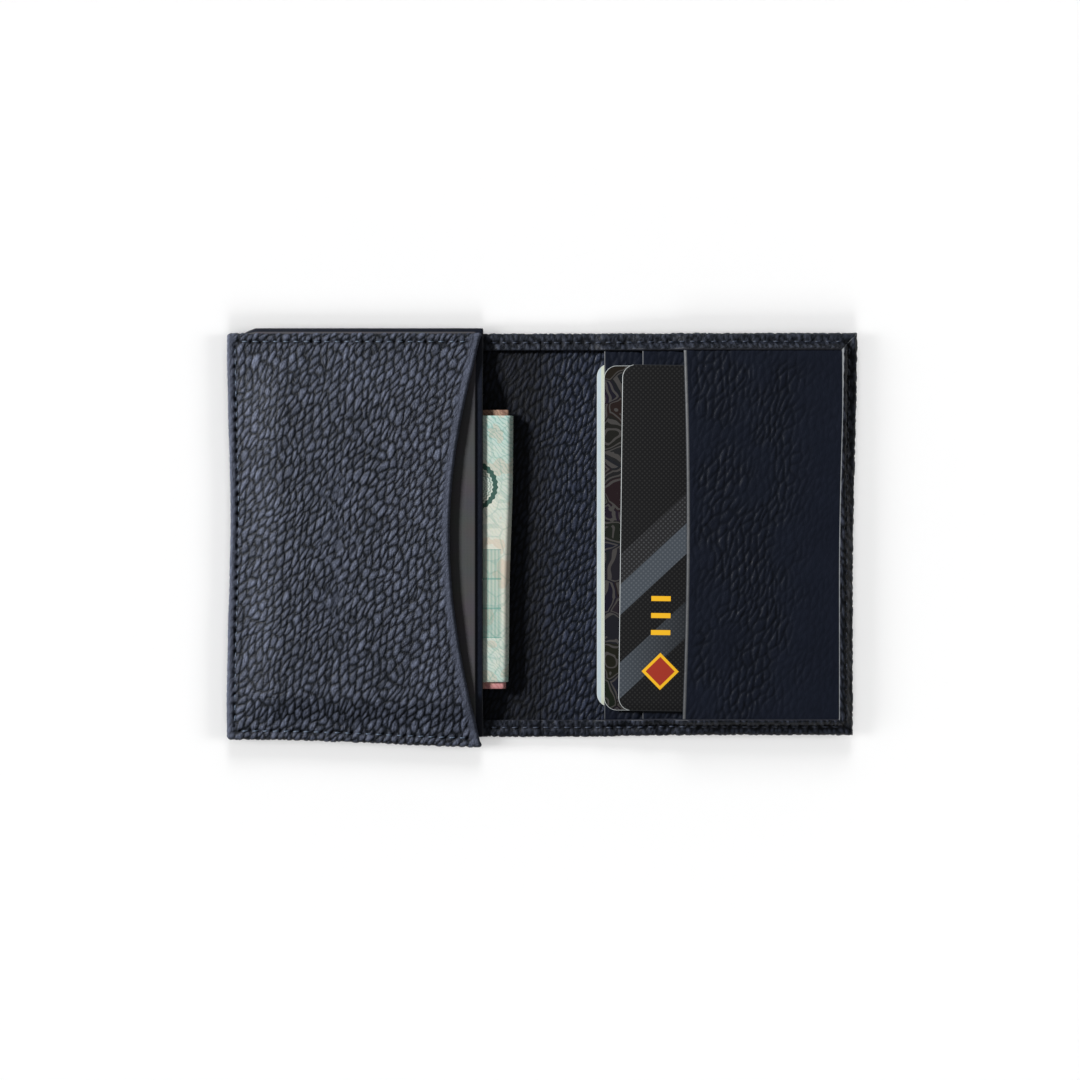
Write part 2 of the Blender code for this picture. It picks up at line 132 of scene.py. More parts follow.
def pebbles(x, y, look):
    wanderX = look["wander"] * drift(x, y, 3.1, 11) + 2.2 * look["wander"] * drift(x, y, 9.0, 12)
    wanderY = look["wander"] * drift(x, y, 3.1, 13) + 2.2 * look["wander"] * drift(x, y, 9.0, 14)
    # the creases run mostly in two directions, so the cells are drawn on a slanting lattice
    first, second = math.radians(look["slant"]), math.radians(look["steep"])
    bent = math.sin(second - first)
    px, py = x + wanderX, y + wanderY
    along = (px * math.sin(second) - py * math.cos(second)) / bent
    across = (py * math.cos(first) - px * math.sin(first)) / bent
    edge, own = cells(across / look["width"], along / look["length"], 0.72, 1)
    slope = 1.0 - np.exp(-((edge / look["crease"]) ** 1.3))
    dome = 1.0 - np.exp(-edge / (2.5 * look["crease"]))
    height = (0.65 * slope + 0.35 * dome) * (0.78 + 0.22 * own)
    # smaller creases cross the pebbles
    acrossSmall = across / look["width"] * 1.9 + 0.4 * height
    edge, own = cells(acrossSmall, along / look["length"] * 2.1, 0.9, 5)
    small = 1.0 - np.exp(-edge / (0.8 * look["crease"]))
    return height * (1.0 - look["small"] * (1.0 - small) * (0.3 + 0.7 * own))


def surfaceNormals(points):
    normal = np.cross(np.gradient(points, axis=0), np.gradient(points, axis=1))
    return normal / np.maximum(np.linalg.norm(normal, axis=2, keepdims=True), 1e-9)


def ringOf(rows, cols):
    ring = [(i, 0) for i in range(rows - 1)] + [(rows - 1, j) for j in range(cols - 1)]
    ring += [(i, cols - 1) for i in range(rows - 1, 0, -1)] + [(0, j) for j in range(cols - 1, 0, -1)]
    return np.array(ring)


def backFaces(under, coarse):
    rows, cols = under.shape
    faces = []
    rowStops = sorted(set(list(range(0, rows - 1, coarse)) + [rows - 1]))
    colStops = sorted(set(list(range(0, cols - 1, coarse)) + [cols - 1]))
    for i0, i1 in zip(rowStops[:-1], rowStops[1:]):
        for j0, j1 in zip(colStops[:-1], colStops[1:]):
            face = [under[i0, j0]]
            if i0 == 0:
                face += [under[0, j] for j in range(j0 + 1, j1)]
            face.append(under[i0, j1])
            if j1 == cols - 1:
                face += [under[i, j1] for i in range(i0 + 1, i1)]
            face.append(under[i1, j1])
            if i1 == rows - 1:
                face += [under[i1, j] for j in range(j1 - 1, j0, -1)]
            face.append(under[i1, j0])
            if j0 == 0:
                face += [under[i, 0] for i in range(i1 - 1, i0, -1)]
            faces.append([int(v) for v in face])
    return faces


def closedSheet(name, base, thickness, finishes, raised=0.0, grain=1.0, shade=1.0, flat=None,
                coarse=8, roundness=0.8):
    rows, cols = base.shape[:2]
    spread = np.ones((rows, cols))
    raised, grain, shade = spread * raised, spread * grain, spread * shade
    thickness = spread * thickness
    flat = base[..., :2] if flat is None else flat
    normal = surfaceNormals(base)
    top = base + normal * raised[..., None]
    back = base - normal * thickness[..., None]
    ring = ringOf(rows, cols)
    ri, rj = ring[:, 0], ring[:, 1]
    inner = base[np.clip(ri, 1, rows - 2), np.clip(rj, 1, cols - 2)]
    outward = base[ri, rj] - inner
    outward /= np.maximum(np.linalg.norm(outward, axis=1, keepdims=True), 1e-9)
    middle = (top[ri, rj] + back[ri, rj]) / 2
    half = (top[ri, rj] - back[ri, rj]) / 2
    reach = roundness * np.linalg.norm(half, axis=1, keepdims=True)
    points = [top.reshape(-1, 3)]
    index = np.arange(rows * cols).reshape(rows, cols)
    rings = [index[ri, rj]]
    count = rows * cols
    for turn in (45.0, 0.0, -45.0, -90.0):
        angle = math.radians(turn)
        points.append(middle + half * math.sin(angle) + outward * reach * math.cos(angle))
        rings.append(np.arange(count, count + len(ring)))
        count += len(ring)
    under = -np.ones((rows, cols), int)
    under[ri, rj] = rings[-1]
    innerStops = [(i, j) for i in range(coarse, rows - 1, coarse) for j in range(coarse, cols - 1, coarse)]
    if innerStops:
        stops = np.array(innerStops)
        under[stops[:, 0], stops[:, 1]] = np.arange(count, count + len(stops))
        points.append(back[stops[:, 0], stops[:, 1]])
    quads = [index[:-1, :-1], index[1:, :-1], index[1:, 1:], index[:-1, 1:]]
    faces = np.stack(quads, -1).reshape(-1, 4).tolist()
    topCount = len(faces)
    for upper, lower in zip(rings[:-1], rings[1:]):
        side = np.stack([upper, lower, np.roll(lower, -1), np.roll(upper, -1)], -1)
        faces += side.tolist()
    rimCount = len(faces) - topCount
    faces += backFaces(under, coarse)
    mesh = bpy.data.meshes.new(name)
    mesh.from_pydata((np.concatenate(points) * mm).tolist(), [], faces)
    kinds = np.zeros(len(faces), np.int32)
    kinds[topCount:topCount + rimCount] = 1 if len(finishes) > 1 else 0
    mesh.polygons.foreach_set("material_index", kinds)

    def atPoints(values):   # the same order as the points: top, four rings round the edge, underside
        parts = [values.reshape(-1, *values.shape[2:])] + [values[ri, rj]] * 4
        if innerStops:
            parts.append(values[stops[:, 0], stops[:, 1]])
        return np.concatenate(parts)

    setMark(mesh, "grain", atPoints(grain))
    setMark(mesh, "shade", atPoints(shade))
    setFlat(mesh, atPoints(flat) / 100.0)
    made = bpy.data.objects.new(name, mesh)
    bpy.context.scene.collection.objects.link(made)
    for finish in finishes:
        mesh.materials.append(finish)
    only(made)
    bpy.ops.object.shade_smooth_by_angle(angle=math.radians(80.0))
    return made


def setMark(mesh, name, values):
    mark = mesh.attributes.new(name, "FLOAT", "POINT")
    mark.data.foreach_set("value", values.astype(np.float32))


def setFlat(mesh, places):   # the leather's own flat coordinates, 1 for each 100 mm
    layer = mesh.uv_layers.new(name="flat")
    corners = np.zeros(len(mesh.loops), np.int32)
    mesh.loops.foreach_get("vertex_index", corners)
    layer.data.foreach_set("uv", places[corners].astype(np.float32).reshape(-1))


def only(*things):
    bpy.ops.object.select_all(action="DESELECT")
    for thing in things:
        thing.select_set(True)
    bpy.context.view_layer.objects.active = things[0]


def joined(name, pieces):
    only(*pieces)
    if len(pieces) > 1:
        bpy.ops.object.join()
    made = bpy.context.view_layer.objects.active
    made.name = name
    made.data.name = name
    return made


def group(name, inputs, outputs):
    tree = bpy.data.node_groups.new(name, "ShaderNodeTree")
    for socket, kind, value in inputs:
        made = tree.interface.new_socket(socket, in_out="INPUT", socket_type=kind)
        made.default_value = value
    for socket, kind in outputs:
        tree.interface.new_socket(socket, in_out="OUTPUT", socket_type=kind)
    return tree, tree.nodes.new("NodeGroupInput"), tree.nodes.new("NodeGroupOutput")


def node(tree, kind, settings=None, **values):
    made = tree.nodes.new(kind)
    for key, value in (settings or {}).items():
        setattr(made, key, value)
    for key, value in values.items():
        made.inputs[key.replace("_", " ")].default_value = value
    return made


def maths(tree, operation, first, second, third=None):
    made = tree.nodes.new("ShaderNodeMath")
    made.operation = operation
    for slot, value in enumerate((first, second, third)):
        if value is None:
            continue
        if isinstance(value, (int, float)):
            made.inputs[slot].default_value = value
        else:
            tree.links.new(value, made.inputs[slot])
    return made.outputs[0]


def mixed(tree, blend, factor, first, second):
    made = tree.nodes.new("ShaderNodeMix")
    made.data_type = "RGBA"
    made.blend_type = blend
    for slot, value in ((0, factor), (6, first), (7, second)):
        if isinstance(value, (int, float)):
            made.inputs[slot].default_value = value
        elif isinstance(value, tuple):
            made.inputs[slot].default_value = value
        else:
            tree.links.new(value, made.inputs[slot])
    return made.outputs[2]


def leatherGroup():
    float1, colour = "NodeSocketFloat", "NodeSocketColor"
    tree, given, out = group(
        "leatherSurface",
        [("Pebble Colour", colour, (0.05, 0.06, 0.08, 1)), ("Crease Shade Colour", colour, (0.01, 0.01, 0.02, 1)),
         ("Crease Spread", float1, 1.0), ("Colour Variation", float1, 0.2), ("Roughness", float1, 0.5),
         ("Roughness Variation", float1, 0.15), ("Pore Size", float1, 0.35), ("Wrinkles", float1, 1.0)],
        [("Colour", colour), ("Roughness", float1), ("Height", float1)],
    )
    grain = node(tree, "ShaderNodeAttribute", {"attribute_name": "grain"})
    shade = node(tree, "ShaderNodeAttribute", {"attribute_name": "shade"})
    flat = node(tree, "ShaderNodeUVMap", {"uv_map": "flat"})
    cloudy = node(tree, "ShaderNodeTexNoise", Scale=9.0, Detail=3.0)
    mottled = node(tree, "ShaderNodeTexNoise", Scale=70.0, Detail=4.0)
    pores = node(tree, "ShaderNodeTexVoronoi", {"feature": "F1"})
    fine = node(tree, "ShaderNodeTexNoise", Scale=900.0, Detail=3.0)
    wrinkles = node(tree, "ShaderNodeTexVoronoi", {"feature": "DISTANCE_TO_EDGE"}, Scale=95.0)
    for texture in (cloudy, mottled, pores, fine, wrinkles):
        tree.links.new(flat.outputs[0], texture.inputs["Vector"])
    tree.links.new(maths(tree, "DIVIDE", 100.0, given.outputs["Pore Size"]), pores.inputs["Scale"])
    # painted shade: the creases between the pebbles take the darker crease colour
    crown = maths(tree, "POWER", grain.outputs["Fac"], given.outputs["Crease Spread"])
    tone = mixed(tree, "MIX", crown, given.outputs["Crease Shade Colour"], given.outputs["Pebble Colour"])
    uneven = maths(tree, "ADD", cloudy.outputs["Fac"], mottled.outputs["Fac"])
    uneven = maths(tree, "SUBTRACT", uneven, 1.0)
    gain = maths(tree, "MULTIPLY_ADD", uneven, given.outputs["Colour Variation"], 1.0)
    # the shade attribute paints shade into the colour: stitch grooves, needle holes, the pressed emblem, the
    # pocket's rolled mouth and side band, and the facing near the fold
    gain = maths(tree, "MULTIPLY", gain, shade.outputs["Fac"])
    bright = node(tree, "ShaderNodeVectorMath", {"operation": "SCALE"})
    tree.links.new(tone, bright.inputs[0])
    tree.links.new(gain, bright.inputs["Scale"])
    tree.links.new(bright.outputs[0], out.inputs["Colour"])
    dull = maths(tree, "SUBTRACT", 1.0, shade.outputs["Fac"])
    roughness, spread = given.outputs["Roughness"], given.outputs["Roughness Variation"]
    rough = maths(tree, "MULTIPLY_ADD", uneven, spread, roughness)
    rough = maths(tree, "MULTIPLY_ADD", dull, 0.35, rough)
    tree.links.new(rough, out.inputs["Roughness"])
    height = maths(tree, "MULTIPLY_ADD", pores.outputs["Distance"], 0.5, fine.outputs["Fac"])
    furrow = maths(tree, "MINIMUM", maths(tree, "MULTIPLY", wrinkles.outputs["Distance"], 7.0), 1.0)
    height = maths(tree, "MULTIPLY_ADD", furrow, given.outputs["Wrinkles"], height)
    tree.links.new(height, out.inputs["Height"])
    return tree


def newMaterial(name, roughness=0.5, specular=0.5):
    made = bpy.data.materials.new(name)
    made.use_nodes = True
    shader = made.node_tree.nodes["Principled BSDF"]
    shader.inputs["Roughness"].default_value = roughness
    shader.inputs["Specular IOR Level"].default_value = specular
    return made, made.node_tree, shader


leatherTree = leatherGroup()


def addBump(tree, shader, height, strength, depth):
    bump = node(tree, "ShaderNodeBump", Strength=strength, Distance=depth * mm)
    tree.links.new(height, bump.inputs["Height"])
    tree.links.new(bump.outputs["Normal"], shader.inputs["Normal"])


def leatherMaterial(name, look):
    made, tree, shader = newMaterial(name, specular=look["specular"])
    surface = node(tree, "ShaderNodeGroup", {"node_tree": leatherTree})
    surface.inputs["Pebble Colour"].default_value = (*look["pebble"], 1)
    surface.inputs["Crease Shade Colour"].default_value = (*look["crease"], 1)
    surface.inputs["Crease Spread"].default_value = look["spread"]
    surface.inputs["Colour Variation"].default_value = look["variation"]
    surface.inputs["Roughness"].default_value = look["roughness"]
    surface.inputs["Roughness Variation"].default_value = 0.12
    surface.inputs["Pore Size"].default_value = look["pore"]
    surface.inputs["Wrinkles"].default_value = look["wrinkles"]
    tree.links.new(surface.outputs["Colour"], shader.inputs["Base Color"])
    tree.links.new(surface.outputs["Roughness"], shader.inputs["Roughness"])
    addBump(tree, shader, surface.outputs["Height"], look["bump"], 0.06)
    return made


def plainMaterial(name, colour, roughness, size, amount, bumpDepth=0.02, specular=0.5):
    # one colour, broken up by a fine noise in the colour and in the height
    made, tree, shader = newMaterial(name, roughness, specular)
    place = node(tree, "ShaderNodeTexCoord")
    noise = node(tree, "ShaderNodeTexNoise", Scale=1.0 / (size * mm), Detail=4.0)
    tree.links.new(place.outputs["Object"], noise.inputs["Vector"])
    dark = tuple(c * (1.0 - amount) for c in colour) + (1.0,)
    light = tuple(min(1.0, c * (1.0 + amount)) for c in colour) + (1.0,)
    tree.links.new(mixed(tree, "MIX", noise.outputs["Fac"], dark, light), shader.inputs["Base Color"])
    addBump(tree, shader, noise.outputs["Fac"], 0.5, bumpDepth)
    return made


# crease: the colour of the painted shade in the creases
outerLeather = leatherMaterial("navyOuterLeather", {
    "pebble": (0.044, 0.051, 0.074), "crease": (0.001, 0.002, 0.004), "spread": 2.0, "variation": 0.5,
    "roughness": 0.56, "specular": 0.13, "pore": 0.35, "wrinkles": 1.2, "bump": 0.6})
# painted light: the curved pocket's leather is a lighter copy of the navy leather, for the light its slope
# catches from the left
pocketLeather = leatherMaterial("navyPocketLeatherPaintedLight", {
    "pebble": (0.096, 0.110, 0.158), "crease": (0.001, 0.002, 0.004), "spread": 2.2, "variation": 0.5,
    "roughness": 0.56, "specular": 0.13, "pore": 0.35, "wrinkles": 1.6, "bump": 0.7})
innerLeather = leatherMaterial("navyInnerLeather", {
    "pebble": (0.029, 0.036, 0.062), "crease": (0.001, 0.002, 0.004), "spread": 2.0, "variation": 0.4,
    "roughness": 0.46, "specular": 0.12, "pore": 0.30, "wrinkles": 1.2, "bump": 0.6})
# painted shade: the slot panels and the divider use a much darker copy of the navy leather, for panels that
# tilt away from the light and the divider in the pocket's shade
slotLeather = leatherMaterial("navySlotLeatherPaintedShade", {
    "pebble": (0.0035, 0.0052, 0.0110), "crease": (0.002, 0.003, 0.006), "spread": 1.0, "variation": 0.4,
    "roughness": 0.44, "specular": 0.14, "pore": 0.45, "wrinkles": 0.5, "bump": 0.4})
paintedEdge = plainMaterial("paintedEdge", (0.008, 0.010, 0.013), 0.55, 0.08, 0.35, 0.03)
darkEdge = plainMaterial("darkEdge", (0.010, 0.011, 0.016), 0.55, 0.4, 0.35, 0.03, 0.3)
rawEdge = plainMaterial("rawEdge", (0.095, 0.10, 0.105), 0.75, 0.25, 0.4, 0.05)
print("materials ready")


outerGrain = {"slant": 42.0, "steep": 86.0, "width": 2.5, "length": 2.7, "crease": 0.21, "wander": 0.32,
              "small": 0.50, "depth": 0.40}
hemGrain = {"slant": 48.0, "steep": 86.0, "width": 3.0, "length": 2.1, "crease": 0.26, "wander": 0.32,
            "small": 0.35, "depth": 0.40}


def cardLift(x, y):   # from 0 to 1 where the cards under the sewn leather push it up
    return smooth(y, 48.4, 45.4) * smooth(y, -48.4, -45.6) * smooth(x, 76.9, 74.5)


def hemHeight(x, settledX, settledY):   # the hem climbs over each slot panel and over the cards
    height = cover["hemTop"] + 0.0 * x
    for slot in slots.values():
        onSlot = smooth(x, slot["mouth"] - 3.8, slot["mouth"] + 0.4)
        height = height + onSlot * (slot["rise"] + cover["cardStep"] * cardLift(settledX, settledY))
    return height


def edgeProfile(steps=12):
    # from the flat underside round the outline and back over the top: how far in, and how high
    turns = np.linspace(-math.pi / 2, math.pi / 2, steps + 1)
    out = np.abs(np.cos(turns)) ** 0.8
    up = np.sign(np.sin(turns)) * np.abs(np.sin(turns)) ** 0.8
    return cover["edgeReach"] * (1.0 - out), (up + 1.0) / 2.0


def needleHoles(along, away):
    beside = (along / cover["stitchPitch"] - np.round(along / cover["stitchPitch"])) * cover["stitchPitch"]
    return np.exp(-(beside / 0.48) ** 2 - (away / 0.34) ** 2)


def tucked(x):   # at the spine's middle the right half goes just under the left one
    return 0.25 * smooth(x, 0.0, -0.4)


def coverHalf(name, side):
    length, height = cover["halfLength"], cover["halfHeight"]
    step = cover["spacing"]
    insets, ups = edgeProfile()
    hemInsets = stations((cover["edgeReach"], cover["hemWidth"], 0.36))[1:]
    across = stations((height - cover["edgeReach"], -height + cover["edgeReach"], step))[1:-1]
    columns = stations((0.0 if side < 0 else -0.6, 70.0, step), (70.0, length, 0.40))
    # rows: inner edge of the top hem, round the top edge, along the underside, round to the bottom hem
    inset = np.concatenate([hemInsets[::-1], insets[::-1], 0 * across, insets, hemInsets])
    up = np.concatenate([1 + 0 * hemInsets, ups[::-1], 0 * across, ups, 1 + 0 * hemInsets])
    sign = np.concatenate([1 + 0 * hemInsets, 1 + 0 * insets, 0 * across,
                           -1 - 0 * insets, -1 - 0 * hemInsets])
    y = np.where(sign == 0, 0.0, sign * (height - inset))
    y[sign == 0] = across
    endX = np.where(sign == 0, length - cover["edgeReach"], length - inset)
    endX = np.where((sign != 0) & (up > 0.01), endX - 0.10, endX)
    share = np.clip((columns - 70.0) / (length - 70.0), 0.0, 1.0)
    x = np.where(share[:, None] > 0, 70.0 + share[:, None] * (endX[None, :] - 70.0), columns[:, None])
    yy = np.broadcast_to(y[None, :], x.shape)
    settledX, settledY = settle(side * x, yy)
    z = up[None, :] * hemHeight(side * x, settledX, settledY)
    walked = np.concatenate([[0.0], np.cumsum(np.hypot(np.diff(y), np.diff(up * cover["hemTop"])))])
    middleRow = walked[np.argmin(np.abs(y) + 99.0 * (sign != 0))]
    flat = np.stack([side * x, np.broadcast_to((middleRow - walked)[None, :], x.shape)], -1)
    stitchLine = height - cover["stitchInset"]
    wrapped = coverShell(name + "Wrapped", side, (x, yy, z), flat, (x, np.abs(np.abs(yy) - stitchLine)),
                         up[None, :], [outerLeather, darkEdge])

    # the end hem, between the two mitres
    along = stations((-1.0, 1.0, step / height))
    colInset = np.concatenate([insets, hemInsets])
    colUp = np.concatenate([ups, 1 + 0 * hemInsets])
    endY = np.where(colUp > 0.01, height - colInset - 0.10, height - cover["edgeReach"])
    yB = along[:, None] * endY[None, :]
    xB = np.broadcast_to((length - colInset)[None, :], yB.shape)
    settledX, settledY = settle(side * xB, yB)
    zB = colUp[None, :] * hemHeight(side * xB, settledX, settledY)
    run = np.concatenate([[0.0], np.cumsum(np.hypot(np.diff(colInset), np.diff(colUp * cover["hemTop"])))])
    flatB = np.stack([np.broadcast_to(side * (length - 1.5 + run)[None, :], yB.shape), yB], -1)
    stitchLine = length - cover["stitchInset"]
    endHem = coverShell(name + "EndHem", side, (xB, yB, zB), flatB, (yB, np.abs(xB - stitchLine)),
                        colUp[None, :], [outerLeather, rawEdge])
    return joined(name, [wrapped, endHem])


def coverShell(name, side, places, flat, fromStitch, up, finishes):
    x, y, z = places
    settledX, settledY = settle(side * x, y)
    base = np.stack([settledX, settledY, z], -1)
    up = np.broadcast_to(up, x.shape)
    onHem = smooth(up, 0.8, 1.0)
    grain = pebbles(flat[..., 0], flat[..., 1], outerGrain) * (1.0 - onHem)
    grain = grain + pebbles(flat[..., 0], flat[..., 1], hemGrain) * onHem
    groove = bell(fromStitch[1], 0.0, 0.6) * onHem
    holes = needleHoles(*fromStitch) * onHem
    depth = outerGrain["depth"] * (1.0 - onHem) + hemGrain["depth"] * onHem
    raised = depth * (grain - 0.5) - 0.15 * groove - 0.30 * holes
    raised = raised + 0.05 * drift(flat[..., 0], flat[..., 1], 7.0, 21) - tucked(x)
    # on the underside only the highest pebbles reach the surface that the holder lies on
    raised = raised - (1.0 - smooth(up, 0.0, 0.5)) * (0.5 * depth + 0.05)
    # painted shade: the colour is darkened in the stitch groove and the needle holes
    shade = (1.0 - 0.3 * groove) * (1.0 - 0.85 * holes)
    thickness = cover["leather"] - 0.2 * onHem
    arrays = [base, thickness, raised, grain, shade, flat]
    if side < 0:
        arrays = [item[::-1] for item in arrays]
    return closedSheet(name, arrays[0], arrays[1], finishes, raised=arrays[2], grain=arrays[3],
                       shade=arrays[4], flat=arrays[5], roundness=0.25)


coverRight = coverHalf("coverLeatherRight", 1)
coverLeft = coverHalf("coverLeatherLeft", -1)
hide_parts("right_outer_leather", "spine_outer_leather")
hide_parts("left_outer_leather")
print("outer leather ready")


facing = {"edge": 77.6, "halfHeight": 49.0, "top": 1.8, "thick": 0.6, "fine": 0.28, "rough": 2.0}
innerGrain = {"slant": 40.0, "steep": 80.0, "width": 3.1, "length": 2.1, "crease": 0.22, "wander": 0.35,
              "small": 0.40, "depth": 0.36}


def facingHalf(name, side):
    # past the pockets' mouths the facing is hidden, so its mesh is coarser there
    fineEnd = 17.0
    start = 0.0 if side < 0 else -0.6
    xs = stations((start, fineEnd, facing["fine"]), (fineEnd, facing["edge"], facing["rough"])) * side
    xs = xs if side > 0 else xs[::-1]
    ys = stations((-facing["halfHeight"], facing["halfHeight"], facing["fine"]))
    x, y = np.meshgrid(xs, ys, indexing="ij")
    settledX, settledY = settle(x, y)
    near = 1.0 - smooth(np.abs(x), 15.0, 17.0)
    z = facing["top"] - 0.16 + 0.0 * x
    grain = pebbles(x, y, innerGrain)
    raised = near * (innerGrain["depth"] * (grain - 0.5) + 0.05 * drift(x, y, 6.0, 31))
    raised = raised - (tucked(x) if side > 0 else 0.0)
    shade = 0.35 + 0.65 * smooth(x, -3.0, 8.0)   # painted shade: darker towards the fold, where the raised left pocket casts its shadow
    return closedSheet(name, np.stack([settledX, settledY, z], -1), facing["thick"] - 0.1,
                       [innerLeather, darkEdge], raised=raised, grain=grain, shade=shade,
                       flat=np.stack([x, y], -1), roundness=0.2)


facingRight = facingHalf("facingRight", 1)
facingLeft = facingHalf("facingLeft", -1)
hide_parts("right_inner_facing", "spine_inner_facing")
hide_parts("left_inner_facing")


slotGrain = {"slant": 50.0, "steep": 88.0, "width": 3.3, "length": 3.1, "crease": 0.17, "wander": 0.5,
             "small": 0.45, "depth": 0.36}


def slotPanel(name, slot, fineReach, finishes, bow=0.0, roundness=0.9):
    sewnEnd, cell = facing["edge"], 0.33
    ys = stations((-facing["halfHeight"], facing["halfHeight"], cell))
    xs = stations((0.0, 1.2, 0.2), (1.2, fineReach, cell), (fineReach, sewnEnd - slot["mouth"], 1.5))
    along, y = np.meshgrid(xs, ys, indexing="ij")
    mouth = slot["mouth"] - 0.4 * bow + bow * np.cos((y - 4.0) / 62.0 * math.pi / 2 * 1.2)
    x = mouth + along * (sewnEnd - mouth) / (sewnEnd - slot["mouth"])
    settledX, settledY = settle(x, y)
    lip = 1.0 - smooth(along, 0.0, 2.6)
    fine = 1.0 - smooth(along, fineReach - 2.0, fineReach)
    grain = pebbles(x + 40.0, y + 17.0, slotGrain)
    z = slot["bottom"] + slot["lift"] * cardLift(settledX, settledY) + slot["thick"]
    z = z + 0.04 + 0.03 * drift(x, y, 8.0, 41)
    # the pebbles are shallow and patchy, and nearly flat towards the sewn end
    patchy = 0.35 + 0.65 * smooth(drift(x, y, 5.0, 43) + 0.6 * drift(x, y, 13.0, 44), -0.6, 0.5)
    patchy = patchy * (1.0 - 0.75 * smooth(x, 58.0, 70.0))
    raised = slotGrain["depth"] * (grain - 0.8) * patchy * (1.0 - 0.9 * lip) * fine
    return closedSheet(name, np.stack([settledX, settledY, z], -1), slot["thick"], finishes,
                       raised=raised, grain=1.0 - (1.0 - grain) * (1.0 - 0.8 * lip) * patchy, shade=1.0,
                       flat=np.stack([x, y], -1), coarse=2, roundness=roundness)


rearSlot = slotPanel("rearSlotPanel", slots["rear"], 12.0, [slotLeather, paintedEdge])
middleSlot = slotPanel("middleSlotPanel", slots["middle"], 13.0, [slotLeather, paintedEdge])
frontPocket = slotPanel("frontPocketPanel", slots["front"], 40.0, [slotLeather, paintedEdge], bow=1.1,
                        roundness=1.9)
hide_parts("rear_slot_panel")
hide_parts("middle_slot_panel")
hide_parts("front_pocket_panel")
print("facing and card slots ready")


pocket = {
    "leftX": -79.0, "mouthX": -15.4, "mouthDepth": 7.8, "top": 50.4, "bottom": -51.0, "flare": 1.9,
    "seamTop": 5.1, "edgeReach": 1.1, "edgeDrop": 2.2, "thick": 0.9, "bulge": 2.3, "opening": 0.8,
    "width": 63.6, "height": 100.8,   # of the front's own grid, before its mouth is curved
    "layerEnd": -77.6, "layerTop": 49.4, "layerBottom": 50.0,   # the divider and the lining
    "stitchY": 48.0,
}


def mouthX(y):
    share = np.clip(np.abs(y) / pocket["top"], 0, 1)
    return pocket["mouthX"] - pocket["mouthDepth"] * np.cos(share * math.pi / 2)


def noteBulge(x, y):
    acrossY = smooth(y, 46.6, 33.0) * smooth(y, -46.6, -39.0)
    return acrossY * smooth(x, -77.2, -64.5)


def emblemMark(x, y):
    # a column of three plain lozenges, pressed into the leather
    pressed = np.zeros(x.shape)
    for middle, size in ((10.5, 5.2), (-2.5, 6.6), (-15.5, 5.2)):
        away = np.abs(x + 50.5) * 1.25 + np.abs(y - middle)
        pressed = np.maximum(pressed, bell(away, size, 0.55))
        pressed = np.maximum(pressed, smooth(away, 2.4, 1.9))
    return pressed


